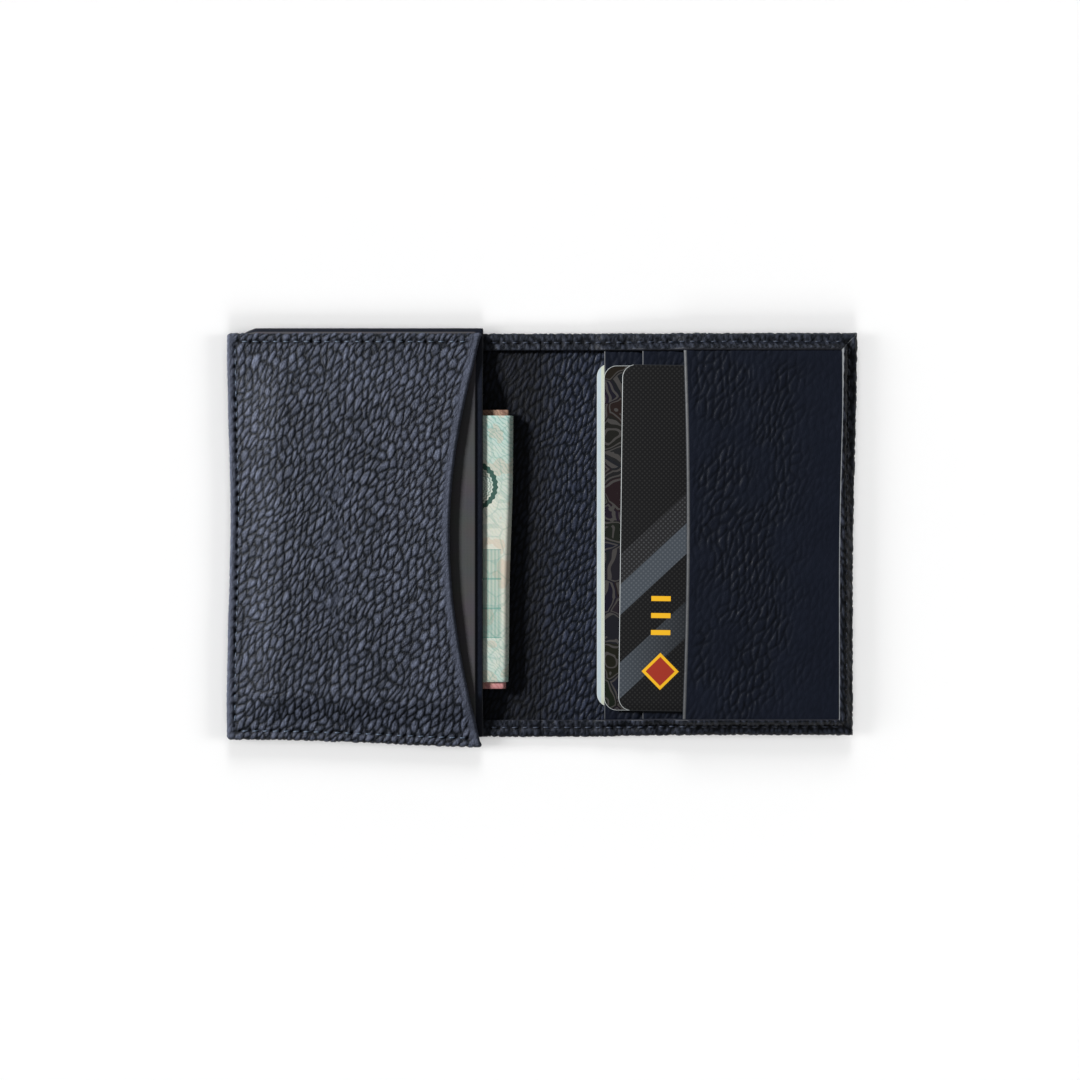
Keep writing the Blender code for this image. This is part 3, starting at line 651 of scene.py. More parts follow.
def curvedPocket():
    width, height = pocket["width"], pocket["height"]
    us = stations((0.0, 0.12, 0.05), (0.12, 1.2, 0.16), (1.2, 61.6, 0.285), (61.6, width, 0.2))
    vs = stations((0.0, 0.12, 0.05), (0.12, 1.2, 0.16), (1.2, 99.6, 0.285), (99.6, 100.68, 0.16),
                  (100.68, height, 0.05))
    u, v = np.meshgrid(us, vs, indexing="ij")
    a = np.clip(1.0 - u / pocket["edgeReach"], 0.0, 1.0)
    bLow = np.clip(1.0 - v / pocket["edgeReach"], 0.0, 1.0)
    bHigh = np.clip(1.0 - (height - v) / pocket["edgeReach"], 0.0, 1.0)
    b = bHigh - bLow
    size = np.maximum(np.hypot(a, b), 1.0)
    u = np.where(a > 0, pocket["edgeReach"] * (1.0 - a / size), u)
    v = np.where(bLow > 0, pocket["edgeReach"] * (1.0 - bLow / size), v)
    v = np.where(bHigh > 0, height - pocket["edgeReach"] * (1.0 - bHigh / size), v)
    steep = np.clip((a / size) ** 2 + (b / size) ** 2, 0.0, 1.0)
    drop = pocket["edgeDrop"] * (1.0 - np.sqrt(1.0 - steep))
    y0 = v - pocket["top"]
    x = pocket["leftX"] + u / width * (mouthX(y0) - pocket["leftX"])
    lowEdge = pocket["bottom"] - pocket["flare"] * smooth(x, pocket["leftX"], -12.0) ** 1.5
    y = np.where(y0 < 0, y0 / pocket["top"] * -lowEdge, y0)
    bulge = noteBulge(x, y0)
    opening = pocket["opening"] * smooth(x, -40.0, -17.0) * smooth(np.abs(y0), 50.0, 15.0)
    z = pocket["seamTop"] + pocket["bulge"] * bulge + opening - drop
    z = z + 0.10 * drift(x, y0, 11.0, 51)
    grain = pebbles(x, y, outerGrain)
    lip = smooth(u, 61.4, 63.0)
    sideBand = 1.0 - smooth(u, 1.6, 2.8)   # the smooth turned edge outside the side stitches
    sideAway = np.abs(u - cover["stitchInset"])
    rowAway = np.minimum(np.abs(v - cover["stitchInset"]), np.abs(height - v - cover["stitchInset"]))
    alongRow = np.where(u > 2.0, 1.0, 0.0) * smooth(u, 63.4, 62.6)
    alongSide = np.where(np.abs(y0) < 48.4, 1.0, 0.0)
    groove = np.maximum(bell(sideAway, 0, 0.65) * alongSide, 0.7 * bell(rowAway, 0, 0.6) * alongRow)
    holes = np.maximum(needleHoles(y0, sideAway) * alongSide, needleHoles(x, rowAway) * alongRow)
    mark = emblemMark(x, y)
    quiet = (1 - 0.85 * lip) * (1 - 0.75 * sideBand) * (1 - 0.7 * mark)
    raised = outerGrain["depth"] * (grain - 0.5) * quiet - 0.25 * groove - 0.40 * holes - 0.20 * mark
    raised = raised + 0.06 * drift(x, y, 7.0, 21)
    # painted shade: the colour is darkened in the stitch grooves, the needle holes and the pressed emblem, on
    # the rolled mouth edge that faces away from the light, and on the turned band outside the side stitches
    shade = (1 - 0.35 * groove) * (1 - 0.9 * holes) * (1 - 0.35 * mark) * (1.0 - 0.5 * lip)
    shade = shade * (1.0 - 0.35 * sideBand)
    grain = 1.0 - (1.0 - grain) * (1.0 - 0.85 * lip) * (1.0 - 0.5 * mark) * (1.0 - 0.7 * sideBand)
    settledX, settledY = settle(x, y)
    return closedSheet("curvedPocketFront", np.stack([settledX, settledY, z], -1),
                       pocket["thick"] + 0.35 * smooth(u, 57.0, 63.0), [pocketLeather, pocketLeather],
                       raised=raised, grain=grain, shade=shade, flat=np.stack([x, y], -1), roundness=1.0)


curvedFront = curvedPocket()
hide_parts("curved_pocket_front")


def pocketLayer(name, edge, under, thick, finishes, peek, grainy):
    xs = stations((pocket["layerEnd"], edge - 12.0, 2.0), (edge - 12.0, edge, 0.36))
    ys = stations((-1.0, 1.0, 0.0075))
    x, v = np.meshgrid(xs, ys, indexing="ij")
    topY = pocket["layerTop"] + peek * smooth(x, -76.0, -72.0)
    y = np.where(v > 0, v * topY, v * pocket["layerBottom"])
    z = under + thick + pocket["bulge"] * noteBulge(x, y)
    grain = pebbles(x * 1.2, y * 1.2, innerGrain)
    settledX, settledY = settle(x, y)
    return closedSheet(name, np.stack([settledX, settledY, z], -1), thick, finishes,
                       raised=grainy * (grain - 0.5), grain=0.5 + 0.5 * grain, shade=1.0,
                       flat=np.stack([x, y], -1), coarse=2, roundness=0.9)


def clothMaterial(name, colour):
    # fine woven cloth: two crossing ridge patterns
    made, tree, shader = newMaterial(name, 0.85, 0.25)
    flat = node(tree, "ShaderNodeUVMap", {"uv_map": "flat"})
    warp = node(tree, "ShaderNodeTexWave", {"bands_direction": "X"}, Scale=90.0, Distortion=0.6, Detail=1.0)
    weft = node(tree, "ShaderNodeTexWave", {"bands_direction": "Y"}, Scale=90.0, Distortion=0.6, Detail=1.0)
    noise = node(tree, "ShaderNodeTexNoise", Scale=14.0, Detail=4.0)
    for texture in (warp, weft, noise):
        tree.links.new(flat.outputs[0], texture.inputs["Vector"])
    weave = maths(tree, "MAXIMUM", warp.outputs["Fac"], weft.outputs["Fac"])
    dark = tuple(c * 0.7 for c in colour) + (1,)
    tone = mixed(tree, "MIX", weave, dark, (*colour, 1))
    tone = mixed(tree, "MULTIPLY", 0.35, tone, noise.outputs["Color"])
    tree.links.new(tone, shader.inputs["Base Color"])
    addBump(tree, shader, weave, 0.4, 0.04)
    return made


liningCloth = clothMaterial("greyLiningCloth", (0.048, 0.047, 0.051))
divider = pocketLayer("notePocketDivider", -14.7, 3.0, 0.6, [slotLeather, darkEdge], 1.9, 0.03)
lining = pocketLayer("dividerLining", -16.4, 3.72, 0.3, [liningCloth, liningCloth], 1.05, 0.0)
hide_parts("note_pocket_divider")
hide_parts("divider_lining")
print("left pockets ready")


def threadMaterial(name, colour):
    made, tree, shader = newMaterial(name, 0.55, 0.4)
    place = node(tree, "ShaderNodeTexCoord")
    twist = node(tree, "ShaderNodeTexWave", {"bands_direction": "DIAGONAL"}, Scale=700.0, Distortion=1.0)
    tree.links.new(place.outputs["Object"], twist.inputs["Vector"])
    dark = tuple(c * 0.45 for c in colour) + (1,)
    tree.links.new(mixed(tree, "MIX", twist.outputs["Fac"], dark, (*colour, 1)), shader.inputs["Base Color"])
    addBump(tree, shader, twist.outputs["Fac"], 0.6, 0.05)
    return made


# painted highlight: the pocket's stitches use a paler copy of the navy thread, standing in for the glints of
# the light from the left
threadPaintedGlint = threadMaterial("navyThreadPaintedGlint", (0.075, 0.105, 0.155))
darkThread = threadMaterial("navyThread", (0.026, 0.036, 0.062))
stitch = {"length": 1.65, "width": 0.36, "height": 0.40, "dip": 0.24}


def stitchPattern():
    bpy.ops.object.select_all(action="DESELECT")
    bpy.ops.mesh.primitive_uv_sphere_add(segments=6, ring_count=6, radius=0.5, rotation=(0, math.pi / 2, 0))
    made = bpy.context.active_object
    made.scale = (stitch["height"] * mm, stitch["width"] * mm, stitch["length"] * mm)
    bpy.ops.object.transform_apply(location=False, rotation=True, scale=True)
    bpy.ops.object.mode_set(mode="EDIT")
    bpy.ops.mesh.select_all(action="DESELECT")
    bpy.ops.object.mode_set(mode="OBJECT")
    for vertex in made.data.vertices:
        vertex.select = abs(vertex.co.x) > 0.38 * stitch["length"] * mm
    bpy.ops.object.mode_set(mode="EDIT")
    bpy.ops.transform.translate(value=(0, 0, -stitch["dip"] * mm))   # the ends go down into the holes
    bpy.ops.object.mode_set(mode="OBJECT")
    bpy.ops.object.shade_smooth()
    return made


stitchModel = stitchPattern()


def stitchRow(name, places, finish):
    copies = []
    for x, y, z, turn in places:
        copy = stitchModel.copy()
        copy.data = stitchModel.data.copy()
        copy.data.materials.append(finish)
        lean = math.radians(turn + 5.0 * math.sin(17.3 * x + 5.1 * y))
        copy.matrix_world = Matrix.Translation((x * mm, y * mm, z * mm)) @ Matrix.Rotation(lean, 4, "Z")
        bpy.context.scene.collection.objects.link(copy)
        copies.append(copy)
    made = joined(name, copies)
    bpy.ops.object.transform_apply(location=True, rotation=True, scale=True)
    return made


def onHem(x, y, turn):   # a stitch's place on the hem, from its place before the leather settles
    settledX, settledY = settle(np.array(x), np.array(y))
    height = float(hemHeight(np.array(x), settledX, settledY))
    return float(settledX), float(settledY), height - 0.05, turn


def hemStitches(side):
    pitch, places = cover["stitchPitch"], []
    rowY = cover["halfHeight"] - cover["stitchInset"]
    endX = cover["halfLength"] - cover["stitchInset"]
    for count in range(int(endX / pitch)):
        for y in (rowY, -rowY):
            places.append(onHem(side * (count + 0.5) * pitch, y, 0.0))
    for count in range(-18, 18):
        places.append(onHem(side * endX, (count + 0.5) * pitch, 90.0))
    return places


rightStitches = stitchRow("hemStitchesRight", hemStitches(1), darkThread)
leftHemPlaces = [place for place in hemStitches(-1) if place[0] > -14.0]   # the pocket hides the others
spineStitches = stitchRow("hemStitchesLeft", leftHemPlaces, darkThread)
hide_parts("right_stitching", "spine_stitching_top", "spine_stitching_bottom")


def pocketStitches():
    pitch, row, places = cover["stitchPitch"], pocket["stitchY"], []
    for count in range(-30, -5):
        x = (count + 0.5) * pitch
        if x < -76.3 or x > -17.4:
            continue
        flare = pocket["flare"] * float(smooth(np.array(x), pocket["leftX"], -12.0)) ** 1.5
        low = -row / pocket["top"] * (flare - pocket["bottom"])
        for y in (row, low):
            sx, sy = settle(np.array(x), np.array(y))
            lifted = smooth(np.array(x), -40.0, -17.0) * smooth(np.array(row), 50.0, 15.0)
            opening = pocket["opening"] * float(lifted)
            places.append((float(sx), float(sy), 4.98 + opening, 0.0))
    for count in range(-18, 18):
        sx, sy = settle(np.array(-76.6), np.array((count + 0.5) * pitch))
        places.append((float(sx), float(sy), 4.80, 90.0))
    return places


leftStitches = stitchRow("pocketStitches", pocketStitches(), threadPaintedGlint)
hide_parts("left_stitching")
bpy.data.objects.remove(stitchModel, do_unlink=True)
print("stitches ready")


cards = {
    "id": {"node": "id_card", "body": "id_card_body", "lean": 0.0},
    "patterned": {"node": "patterned_card", "body": "patterned_card_body", "lean": 0.0},
    "black": {"node": "black_card", "body": "black_card_body", "lean": -0.7, "shadedEnds": True},
}
cardSize = {"width": 53.98, "length": 85.6, "thick": 0.76, "corner": 3.18}
# the white edge colour is the core of the pale and patterned cards; on the black card's long sides it is a
# painted highlight
cardEdge = plainMaterial("whiteAndLitCardEdge", (0.34, 0.36, 0.36), 0.45, 0.5, 0.08, 0.01)
shadedCardEdge = plainMaterial("shadedCardEdge", (0.015, 0.016, 0.018), 0.45, 0.3, 0.08, 0.01)


def cardMiddle(name):
    low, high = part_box(name)
    return [(a + b) / 2 for a, b in zip(low, high)]


def makeCard(name, spec, finish):
    middle = cardMiddle(spec["node"])
    bpy.ops.object.select_all(action="DESELECT")
    bpy.ops.mesh.primitive_cube_add(size=1.0, location=middle)
    made = bpy.context.active_object
    made.name = name
    made.data.name = name
    made.scale = (cardSize["width"] * mm, cardSize["length"] * mm, cardSize["thick"] * mm)
    made.rotation_euler = (0, 0, math.radians(spec["lean"]))
    bpy.ops.object.transform_apply(location=False, rotation=False, scale=True)
    bpy.ops.object.mode_set(mode="EDIT")
    bpy.ops.mesh.select_mode(type="EDGE")
    bpy.ops.mesh.select_all(action="DESELECT")
    bpy.ops.object.mode_set(mode="OBJECT")
    for edge in made.data.edges:
        ends = [made.data.vertices[v].co for v in edge.vertices]
        edge.select = abs(ends[0].z - ends[1].z) > 0.5 * cardSize["thick"] * mm
    bpy.ops.object.mode_set(mode="EDIT")
    bpy.ops.mesh.bevel(offset=cardSize["corner"] * mm, segments=10, profile=0.5)
    bpy.ops.mesh.select_mode(type="FACE")
    bpy.ops.mesh.select_all(action="DESELECT")
    bpy.ops.object.mode_set(mode="OBJECT")
    for face in made.data.polygons:
        face.select = abs(face.normal.z) > 0.9
    bpy.ops.object.mode_set(mode="EDIT")
    bpy.ops.mesh.inset(thickness=0.10 * mm)
    bpy.ops.object.mode_set(mode="OBJECT")
    for face in made.data.polygons:
        face.material_index = 0 if abs(face.normal.z) > 0.9 and len(face.vertices) > 4 else 1
    # the outer ring of each face sits a little lower, so the printed face has a soft edge
    only(made)
    for vertex in made.data.vertices:
        inner = any(v == vertex.index for face in made.data.polygons if len(face.vertices) > 4
                    for v in face.vertices)
        if not inner:
            vertex.co.z *= 0.93
    made.data.materials.append(finish)
    made.data.materials.append(cardEdge)
    if spec.get("shadedEnds"):   # painted light and shade on this black card's edges: its short ends get a dark edge colour, while its long sides keep the white edge colour, as if lit from the left
        made.data.materials.append(shadedCardEdge)
        for face in made.data.polygons:
            if face.material_index == 1 and abs(face.center.y) > (0.5 * cardSize["length"] - 0.12) * mm:
                face.material_index = 2
    bpy.ops.object.transform_apply(location=True, rotation=True, scale=True)
    bpy.ops.object.shade_smooth_by_angle(angle=math.radians(30.0))
    return made


def onCard(tree, spec):   # coordinates in millimetres from the card's middle, along its own sides
    place = node(tree, "ShaderNodeTexCoord")
    turn = math.radians(spec["lean"])
    middle = cardMiddle(spec["node"])
    mapping = node(tree, "ShaderNodeMapping", {"vector_type": "TEXTURE"})
    mapping.inputs["Location"].default_value = middle
    mapping.inputs["Rotation"].default_value = (0, 0, turn)
    mapping.inputs["Scale"].default_value = (mm, mm, mm)
    tree.links.new(place.outputs["Object"], mapping.inputs["Vector"])
    return mapping.outputs[0]


def within(tree, value, low, high):   # 1 where the value lies between low and high
    return maths(tree, "COMPARE", value, (low + high) / 2, (high - low) / 2)


def paleCardMaterial(spec):
    made, tree, shader = newMaterial("paleBlueCard", 0.32, 0.5)
    place = onCard(tree, spec)
    split = node(tree, "ShaderNodeSeparateXYZ")
    tree.links.new(place, split.inputs[0])
    cloud = node(tree, "ShaderNodeTexNoise", Scale=0.30, Detail=3.0)
    specks = node(tree, "ShaderNodeTexVoronoi", {"feature": "F1"}, Scale=2.2, Randomness=0.7)
    for texture in (cloud, specks):
        tree.links.new(place, texture.inputs["Vector"])
    tone = mixed(tree, "MIX", cloud.outputs["Fac"], (0.25, 0.315, 0.355, 1), (0.335, 0.380, 0.395, 1))
    # past the first millimetre the print turns from blue to pale yellow green, with fine dots
    turned = maths(tree, "GREATER_THAN", split.outputs[0], -0.5 * cardSize["width"] + 1.05)
    tone = mixed(tree, "MIX", turned, tone, (0.37, 0.395, 0.32, 1))
    dotted = maths(tree, "MULTIPLY", maths(tree, "LESS_THAN", specks.outputs["Distance"], 0.25), turned)
    tone = mixed(tree, "MIX", maths(tree, "MULTIPLY", dotted, 0.45), tone, (0.20, 0.26, 0.20, 1))
    tree.links.new(tone, shader.inputs["Base Color"])
    return made


def patternedCardMaterial(spec):
    made, tree, shader = newMaterial("darkPatternedCard", 0.36, 0.15)
    place = onCard(tree, spec)
    warp = node(tree, "ShaderNodeTexNoise", Scale=0.16, Detail=1.0)
    tree.links.new(place, warp.inputs["Vector"])
    bent = node(tree, "ShaderNodeVectorMath", {"operation": "MULTIPLY_ADD"})
    tree.links.new(warp.outputs["Color"], bent.inputs[0])
    bent.inputs[1].default_value = (5.0, 5.0, 0.0)
    tree.links.new(place, bent.inputs[2])
    leaves = node(tree, "ShaderNodeTexVoronoi", {"feature": "DISTANCE_TO_EDGE"}, Scale=0.16, Randomness=0.9)
    rings = node(tree, "ShaderNodeTexVoronoi", {"feature": "F1"}, Scale=0.16, Randomness=0.9)
    buds = node(tree, "ShaderNodeTexVoronoi", {"feature": "F1"}, Scale=0.34, Randomness=0.8)
    patch = node(tree, "ShaderNodeTexNoise", Scale=0.17, Detail=1.0)
    for texture in (leaves, rings, buds, patch):
        tree.links.new(bent.outputs[0], texture.inputs["Vector"])
    stem = within(tree, leaves.outputs["Distance"], 0.030, 0.078)
    curl = within(tree, rings.outputs["Distance"], 0.24, 0.32)
    curl = maths(tree, "MULTIPLY", curl, maths(tree, "GREATER_THAN", patch.outputs["Fac"], 0.48))
    bud = maths(tree, "LESS_THAN", buds.outputs["Distance"], 0.24)
    bud = maths(tree, "MULTIPLY", bud, maths(tree, "LESS_THAN", patch.outputs["Fac"], 0.43))
    drawn = maths(tree, "MAXIMUM", maths(tree, "MAXIMUM", stem, curl), bud)
    tint = mixed(tree, "MULTIPLY", 1.0, rings.outputs["Color"], (0.010, 0.009, 0.015, 1))
    tint = mixed(tree, "MIX", 0.5, tint, (0.0075, 0.0055, 0.0060, 1))
    tone = mixed(tree, "MIX", drawn, tint, (0.031, 0.029, 0.028, 1))
    tree.links.new(tone, shader.inputs["Base Color"])
    return made


def blackCardMaterial(spec):
    made, tree, shader = newMaterial("blackCard", 0.38, 0.15)
    place = onCard(tree, spec)
    split = node(tree, "ShaderNodeSeparateXYZ")
    tree.links.new(place, split.inputs[0])
    x, y = split.outputs[0], split.outputs[1]
    # fine mesh of dots on a grid turned by 45 degrees
    turned = node(tree, "ShaderNodeCombineXYZ")
    tree.links.new(maths(tree, "MULTIPLY", maths(tree, "ADD", x, y), 0.707), turned.inputs[0])
    tree.links.new(maths(tree, "MULTIPLY", maths(tree, "SUBTRACT", y, x), 0.707), turned.inputs[1])
    dots = node(tree, "ShaderNodeTexVoronoi", {"feature": "F1"}, Scale=1.2, Randomness=0.0)
    tree.links.new(turned.outputs[0], dots.inputs["Vector"])
    dot = maths(tree, "LESS_THAN", dots.outputs["Distance"], 0.27)
    # three broad stripes rise to the right: a dotted one, a slate one and one that fades out
    rise = maths(tree, "MULTIPLY_ADD", x, -0.95, y)
    dotted = within(tree, rise, 13.9, 21.4)
    slate = within(tree, rise, 6.3, 13.9)
    fading = node(tree, "ShaderNodeMapRange", From_Min=-26.0, From_Max=-8.0, To_Min=0.85, To_Max=0.15)
    tree.links.new(x, fading.inputs["Value"])
    faded = maths(tree, "MULTIPLY", within(tree, rise, -14.5, -5.5), fading.outputs[0])
    ground = mixed(tree, "MIX", dotted, (0.0045, 0.0045, 0.005, 1), (0.011, 0.011, 0.012, 1))
    light = mixed(tree, "MIX", dotted, (0.013, 0.013, 0.013, 1), (0.034, 0.035, 0.037, 1))
    tone = mixed(tree, "MIX", dot, ground, light)
    slateTone = mixed(tree, "MIX", dot, (0.036, 0.043, 0.052, 1), (0.060, 0.068, 0.078, 1))
    tone = mixed(tree, "MIX", maths(tree, "MAXIMUM", slate, faded), tone, slateTone)
    # a plain lozenge with three short bars above it
    acrossX = maths(tree, "ABSOLUTE", maths(tree, "ADD", x, 16.8), 0.0)
    acrossY = maths(tree, "ABSOLUTE", maths(tree, "ADD", y, 33.0), 0.0)
    away = maths(tree, "ADD", acrossX, acrossY)
    tone = mixed(tree, "MIX", maths(tree, "LESS_THAN", away, 4.4), tone, (0.22, 0.022, 0.012, 1))
    amber = (0.55, 0.30, 0.012, 1)
    tone = mixed(tree, "MIX", within(tree, away, 3.6, 4.6), tone, amber)
    bars = maths(tree, "MULTIPLY", within(tree, acrossX, 0.0, 2.4), within(tree, y, -26.6, -13.5))
    pitch = maths(tree, "LESS_THAN", maths(tree, "PINGPONG", maths(tree, "ADD", y, 27.6), 2.1), 0.62)
    tone = mixed(tree, "MIX", maths(tree, "MULTIPLY", bars, pitch), tone, amber)
    tree.links.new(tone, shader.inputs["Base Color"])
    return made


idCard = makeCard("idCard", cards["id"], paleCardMaterial(cards["id"]))
patternedCard = makeCard("patternedCard", cards["patterned"], patternedCardMaterial(cards["patterned"]))
blackCard = makeCard("blackCard", cards["black"], blackCardMaterial(cards["black"]))
for piece, spec in ((idCard, cards["id"]), (patternedCard, cards["patterned"]), (blackCard, cards["black"])):
    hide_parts(spec["node"])
    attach(piece, spec["body"])
print("cards ready")


notes = {
    "outer": {"node": "outer_note", "paper": (0.50, 0.49, 0.42), "tint": (0.34, 0.45, 0.41),
              "ink": (0.035, 0.19, 0.16)},
    "middle": {"node": "middle_note", "paper": (0.42, 0.26, 0.24), "tint": (0.40, 0.17, 0.17),
               "ink": (0.20, 0.05, 0.06)},
    "inner": {"node": "inner_note", "paper": (0.24, 0.15, 0.10), "tint": (0.18, 0.10, 0.07),
              "ink": (0.06, 0.03, 0.02)},
}
rosette = {"x": -17.0, "y": 12.2, "scallop": 0.14, "petals": 28.0,
           "rings": ((2.2, 2.5, 0.5), (2.9, 3.2, 0.5), (3.6, 3.9, 0.5), (4.3, 4.6, 0.6), (5.0, 6.2, 0.95))}


def noteMaterial(name, spec):
    made, tree, shader = newMaterial(name, 0.75, 0.25)
    place = node(tree, "ShaderNodeTexCoord")
    scaled = node(tree, "ShaderNodeVectorMath", {"operation": "SCALE"})
    scaled.inputs["Scale"].default_value = 1.0 / mm
    tree.links.new(place.outputs["Object"], scaled.inputs[0])
    split = node(tree, "ShaderNodeSeparateXYZ")
    tree.links.new(scaled.outputs[0], split.inputs[0])
    x, y = split.outputs[0], split.outputs[1]
    fibre = node(tree, "ShaderNodeTexNoise", Scale=3.0, Detail=4.0)
    cloud = node(tree, "ShaderNodeTexNoise", Scale=0.16, Detail=2.0)
    lace = node(tree, "ShaderNodeTexVoronoi", {"feature": "DISTANCE_TO_EDGE"}, Scale=0.20, Randomness=0.9)
    fine = node(tree, "ShaderNodeTexWave", {"bands_direction": "DIAGONAL"}, Scale=0.55, Distortion=7.0,
                Detail=2.0)
    for texture in (fibre, cloud, lace, fine):
        tree.links.new(scaled.outputs[0], texture.inputs["Vector"])
    # the paper is tinted towards its two ends and plain in the middle
    ends = maths(tree, "MULTIPLY", maths(tree, "ABSOLUTE", maths(tree, "ADD", y, 8.0), 0.0), 1.0 / 26.0)
    tinted = maths(tree, "MULTIPLY", ends, maths(tree, "MULTIPLY_ADD", cloud.outputs["Fac"], 2.2, -0.4))
    tinted = maths(tree, "MINIMUM", tinted, 1.0)
    tone = mixed(tree, "MIX", tinted, (*spec["paper"], 1), (*spec["tint"], 1))
    peach = maths(tree, "GREATER_THAN", cloud.outputs["Fac"], 0.56)
    tone = mixed(tree, "MIX", maths(tree, "MULTIPLY", peach, 0.35), tone, (0.46, 0.31, 0.22, 1))
    ink = (*spec["ink"], 1)
    thin = maths(tree, "MULTIPLY", maths(tree, "GREATER_THAN", fine.outputs["Fac"], 0.78), ends)
    tone = mixed(tree, "MIX", maths(tree, "MULTIPLY", thin, 0.30), tone, ink)
    webbed = maths(tree, "LESS_THAN", lace.outputs["Distance"], 0.035)
    tone = mixed(tree, "MIX", maths(tree, "MULTIPLY", webbed, 0.22), tone, ink)
    # a scalloped rosette of rings, half hidden in the pocket, and a framed panel of fine upright lines
    fromX = maths(tree, "SUBTRACT", x, rosette["x"])
    fromY = maths(tree, "SUBTRACT", y, rosette["y"])
    turn = maths(tree, "ARCTAN2", fromY, fromX)
    scallop = maths(tree, "SINE", maths(tree, "MULTIPLY", turn, rosette["petals"]), 0.0)
    away = maths(tree, "POWER", maths(tree, "ADD", maths(tree, "MULTIPLY", fromX, fromX),
                                      maths(tree, "MULTIPLY", fromY, fromY)), 0.5)
    away = maths(tree, "MULTIPLY_ADD", scallop, rosette["scallop"], away)
    for low, high, amount in rosette["rings"]:
        tone = mixed(tree, "MIX", maths(tree, "MULTIPLY", within(tree, away, low, high), amount), tone,
                     (0.006, 0.050, 0.038, 1))
    lines = maths(tree, "GREATER_THAN", maths(tree, "SINE", maths(tree, "MULTIPLY", x, 7.0), 0.0), -0.1)
    panel = maths(tree, "MULTIPLY", within(tree, x, -16.0, -9.9), within(tree, y, -25.5, -3.5))
    tone = mixed(tree, "MIX", maths(tree, "MULTIPLY", panel, 0.28), tone, ink)
    lined = maths(tree, "MULTIPLY", maths(tree, "MULTIPLY", lines, panel), 0.30)
    tone = mixed(tree, "MIX", lined, tone, ink)
    crossLine = maths(tree, "LESS_THAN", maths(tree, "PINGPONG", maths(tree, "ADD", y, 25.5), 3.67), 0.22)
    crossed = maths(tree, "MULTIPLY", maths(tree, "MULTIPLY", crossLine, panel), 0.55)
    tone = mixed(tree, "MIX", crossed, tone, ink)
    tone = mixed(tree, "MULTIPLY", 0.18, tone, fibre.outputs["Color"])
    tree.links.new(tone, shader.inputs["Base Color"])
    addBump(tree, shader, fibre.outputs["Fac"], 0.3, 0.03)
    return made


noteShape = {
    "thick": 0.32,
    "endRoom": 3.0,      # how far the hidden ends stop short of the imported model's
    "pressed": 0.38,     # how much flatter the hidden ends are
    "bottom": 2.0,
    "cell": 0.6,
}


def foldedNote(name, spec, finish):
    low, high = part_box(spec["node"])
    low, high = [c / mm for c in low], [c / mm for c in high]
    radius = (high[2] - low[2]) / 2
    turnX = high[0] - radius
    endX = low[0] + noteShape["endRoom"]
    flatRun = stations((endX, turnX, 0.8))
    arc = np.linspace(-math.pi / 2, math.pi / 2, 25)[1:-1]
    profileX = np.concatenate([flatRun, turnX + radius * np.cos(arc), flatRun[::-1]])
    profileZ = np.concatenate([low[2] + 0 * flatRun, (low[2] + high[2]) / 2 + radius * np.sin(arc),
                               high[2] + 0 * flatRun])
    walked = np.concatenate([[0.0], np.cumsum(np.hypot(np.diff(profileX), np.diff(profileZ)))])
    ys = stations((low[1], high[1], noteShape["cell"]))
    s, y = np.meshgrid(walked, ys, indexing="ij")
    x = np.broadcast_to(profileX[:, None], s.shape)
    z = np.broadcast_to(profileZ[:, None], s.shape)
    # the hidden ends are pressed flatter, so that they still fit when the notes are pushed in
    bottom = noteShape["bottom"]
    z = bottom + (z - bottom) * (1.0 - noteShape["pressed"] * smooth(x, -50.0, -66.0))
    nearFold = smooth(x, -20.0, -8.0)
    x = x + 0.022 * (y + 3.4) * nearFold - 0.55 * nearFold + 0.12 * np.sin(y / 7.0) * nearFold
    base = np.stack([x, y, z], -1)[::-1]
    flat = np.stack([s, y], -1)[::-1]
    # the sheet's outer face looks away from the fold's middle
    return closedSheet(name, base, noteShape["thick"], [finish, finish], flat=flat, coarse=4,
                       roundness=0.4)


for key, spec in notes.items():
    finish = noteMaterial(key + "NotePaper", spec)
    spec["piece"] = foldedNote(key + "Note", spec, finish)
    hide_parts(spec["node"])
    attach(spec["piece"], "notes_body")
print("notes ready")


for piece in (rearSlot, middleSlot, frontPocket):
    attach(piece, "right_cover")
for piece in (divider, lining, curvedFront, leftStitches):
    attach(piece, "left_cover")
for piece, kind in ((coverRight, "outer_leather"), (facingRight, "inner_leather"), (rightStitches, "thread")):
    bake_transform(piece)
for piece, kind in ((coverLeft, "outer_leather"), (facingLeft, "inner_leather"), (spineStitches, "thread")):
    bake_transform(piece)


studio = {
    "world": 0.28, "floorTone": 0.92,
    "key": {"from": (-0.92, 0.39), "height": 29.0, "away": 1.2, "size": 0.20, "power": 37.0},
    "floorRing": {"height": 36.0, "away": 0.8, "size": 0.3, "power": 2.14},
    "floorTop": {"from": (0.0, 0.0), "height": 90.0, "away": 1.0, "size": 0.5, "power": 0.5},
    "camera": {"at": (-0.0003, -0.0012, 0.377), "lens": 50.0, "sensor": 36.0, "nearest": 0.01},
}


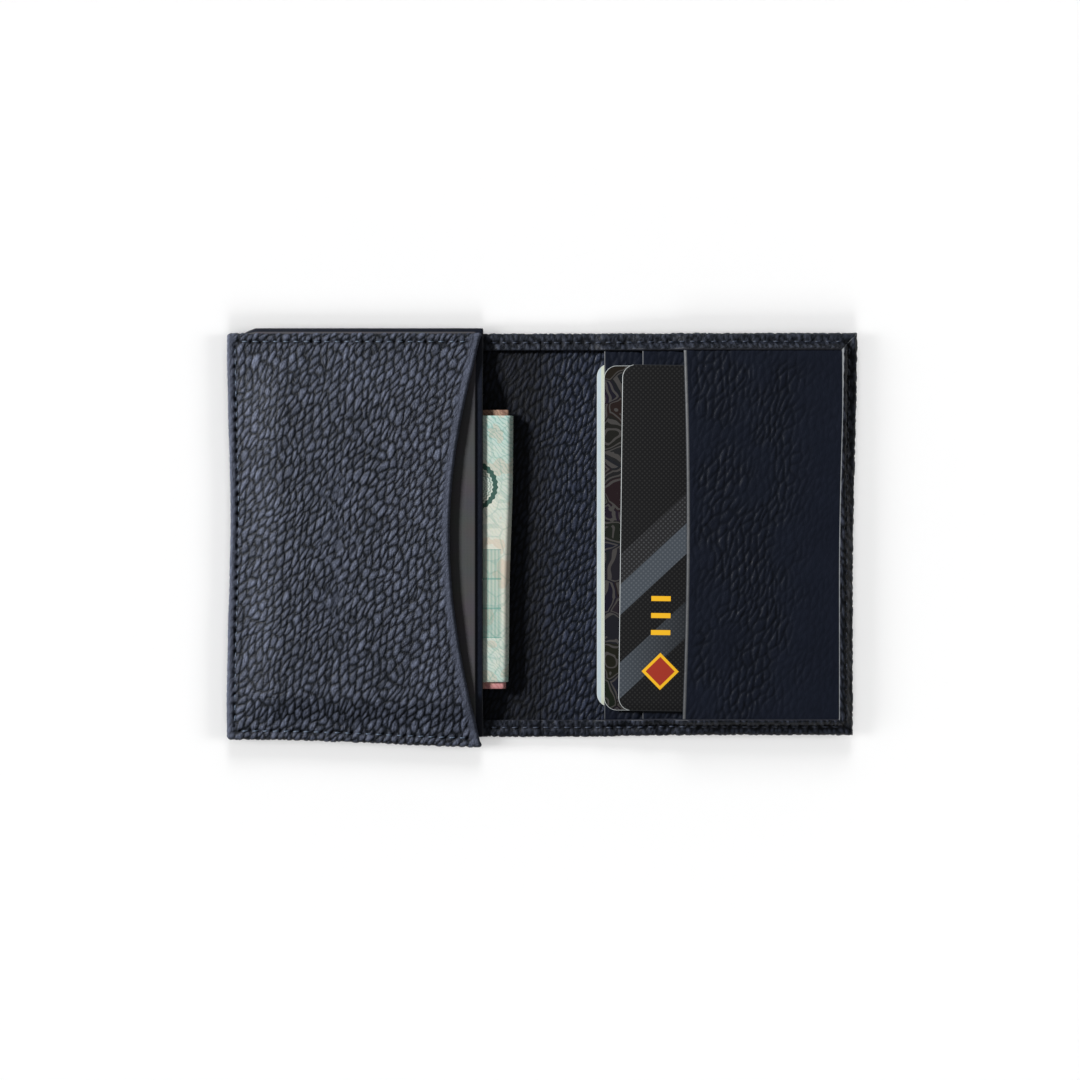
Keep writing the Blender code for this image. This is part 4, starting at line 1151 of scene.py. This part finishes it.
def addLight(name, spec, receivers, direction=None):
    direction = direction or spec["from"]
    height, away = math.radians(spec["height"]), spec["away"]
    level, up = away * math.cos(height), away * math.sin(height)
    bpy.ops.object.light_add(type="AREA", location=(level * direction[0], level * direction[1], up))
    light = bpy.context.active_object
    light.name = name
    light.data.size = spec["size"]
    light.data.energy = spec["power"]
    light.rotation_euler = (-light.location).to_track_quat("-Z", "Y").to_euler()
    light.visible_camera = False
    light.light_linking.receiver_collection = receivers
    return light


def floorAndLight():
    bpy.ops.object.select_all(action="DESELECT")
    bpy.ops.mesh.primitive_plane_add(size=6.0, location=(0, 0, 0))
    floor = bpy.context.active_object
    floor.name = "floor"
    finish, tree, shader = newMaterial("paleFloor", 0.9, 0.0)
    shader.inputs["Base Color"].default_value = (*[studio["floorTone"]] * 3, 1)
    floor.data.materials.append(finish)
    world = bpy.data.worlds.new("studio")
    bpy.context.scene.world = world
    world.use_nodes = True
    world.node_tree.nodes["Background"].inputs[0].default_value = (1, 1, 1, 1)
    world.node_tree.nodes["Background"].inputs[1].default_value = studio["world"]
    # a low key light rakes across the leather, and a ring of soft lights evens out the floor
    floorOnly = bpy.data.collections.new("floorOnly")
    floorOnly.objects.link(floor)
    allButFloor = bpy.data.collections.new("allButFloor")
    allButFloor.objects.link(floor)
    allButFloor.collection_objects[0].light_linking.link_state = "EXCLUDE"
    addLight("keyLight", studio["key"], allButFloor)
    for count in range(4):
        turn = count * math.pi / 2
        addLight(f"floorLight{count}", studio["floorRing"], floorOnly, (math.cos(turn), math.sin(turn)))
    addLight("floorTopLight", studio["floorTop"], floorOnly)


def lookDown():
    spec = studio["camera"]
    bpy.ops.object.camera_add(location=spec["at"], rotation=(0, 0, 0))
    camera = bpy.context.active_object
    camera.name = "camera"
    camera.data.lens = spec["lens"]
    camera.data.sensor_width = spec["sensor"]
    camera.data.clip_start = spec["nearest"]
    bpy.context.scene.camera = camera


floorAndLight()
lookDown()
bpy.context.scene.view_settings.view_transform = "Standard"
bpy.ops.object.select_all(action="DESELECT")
print("scene ready")
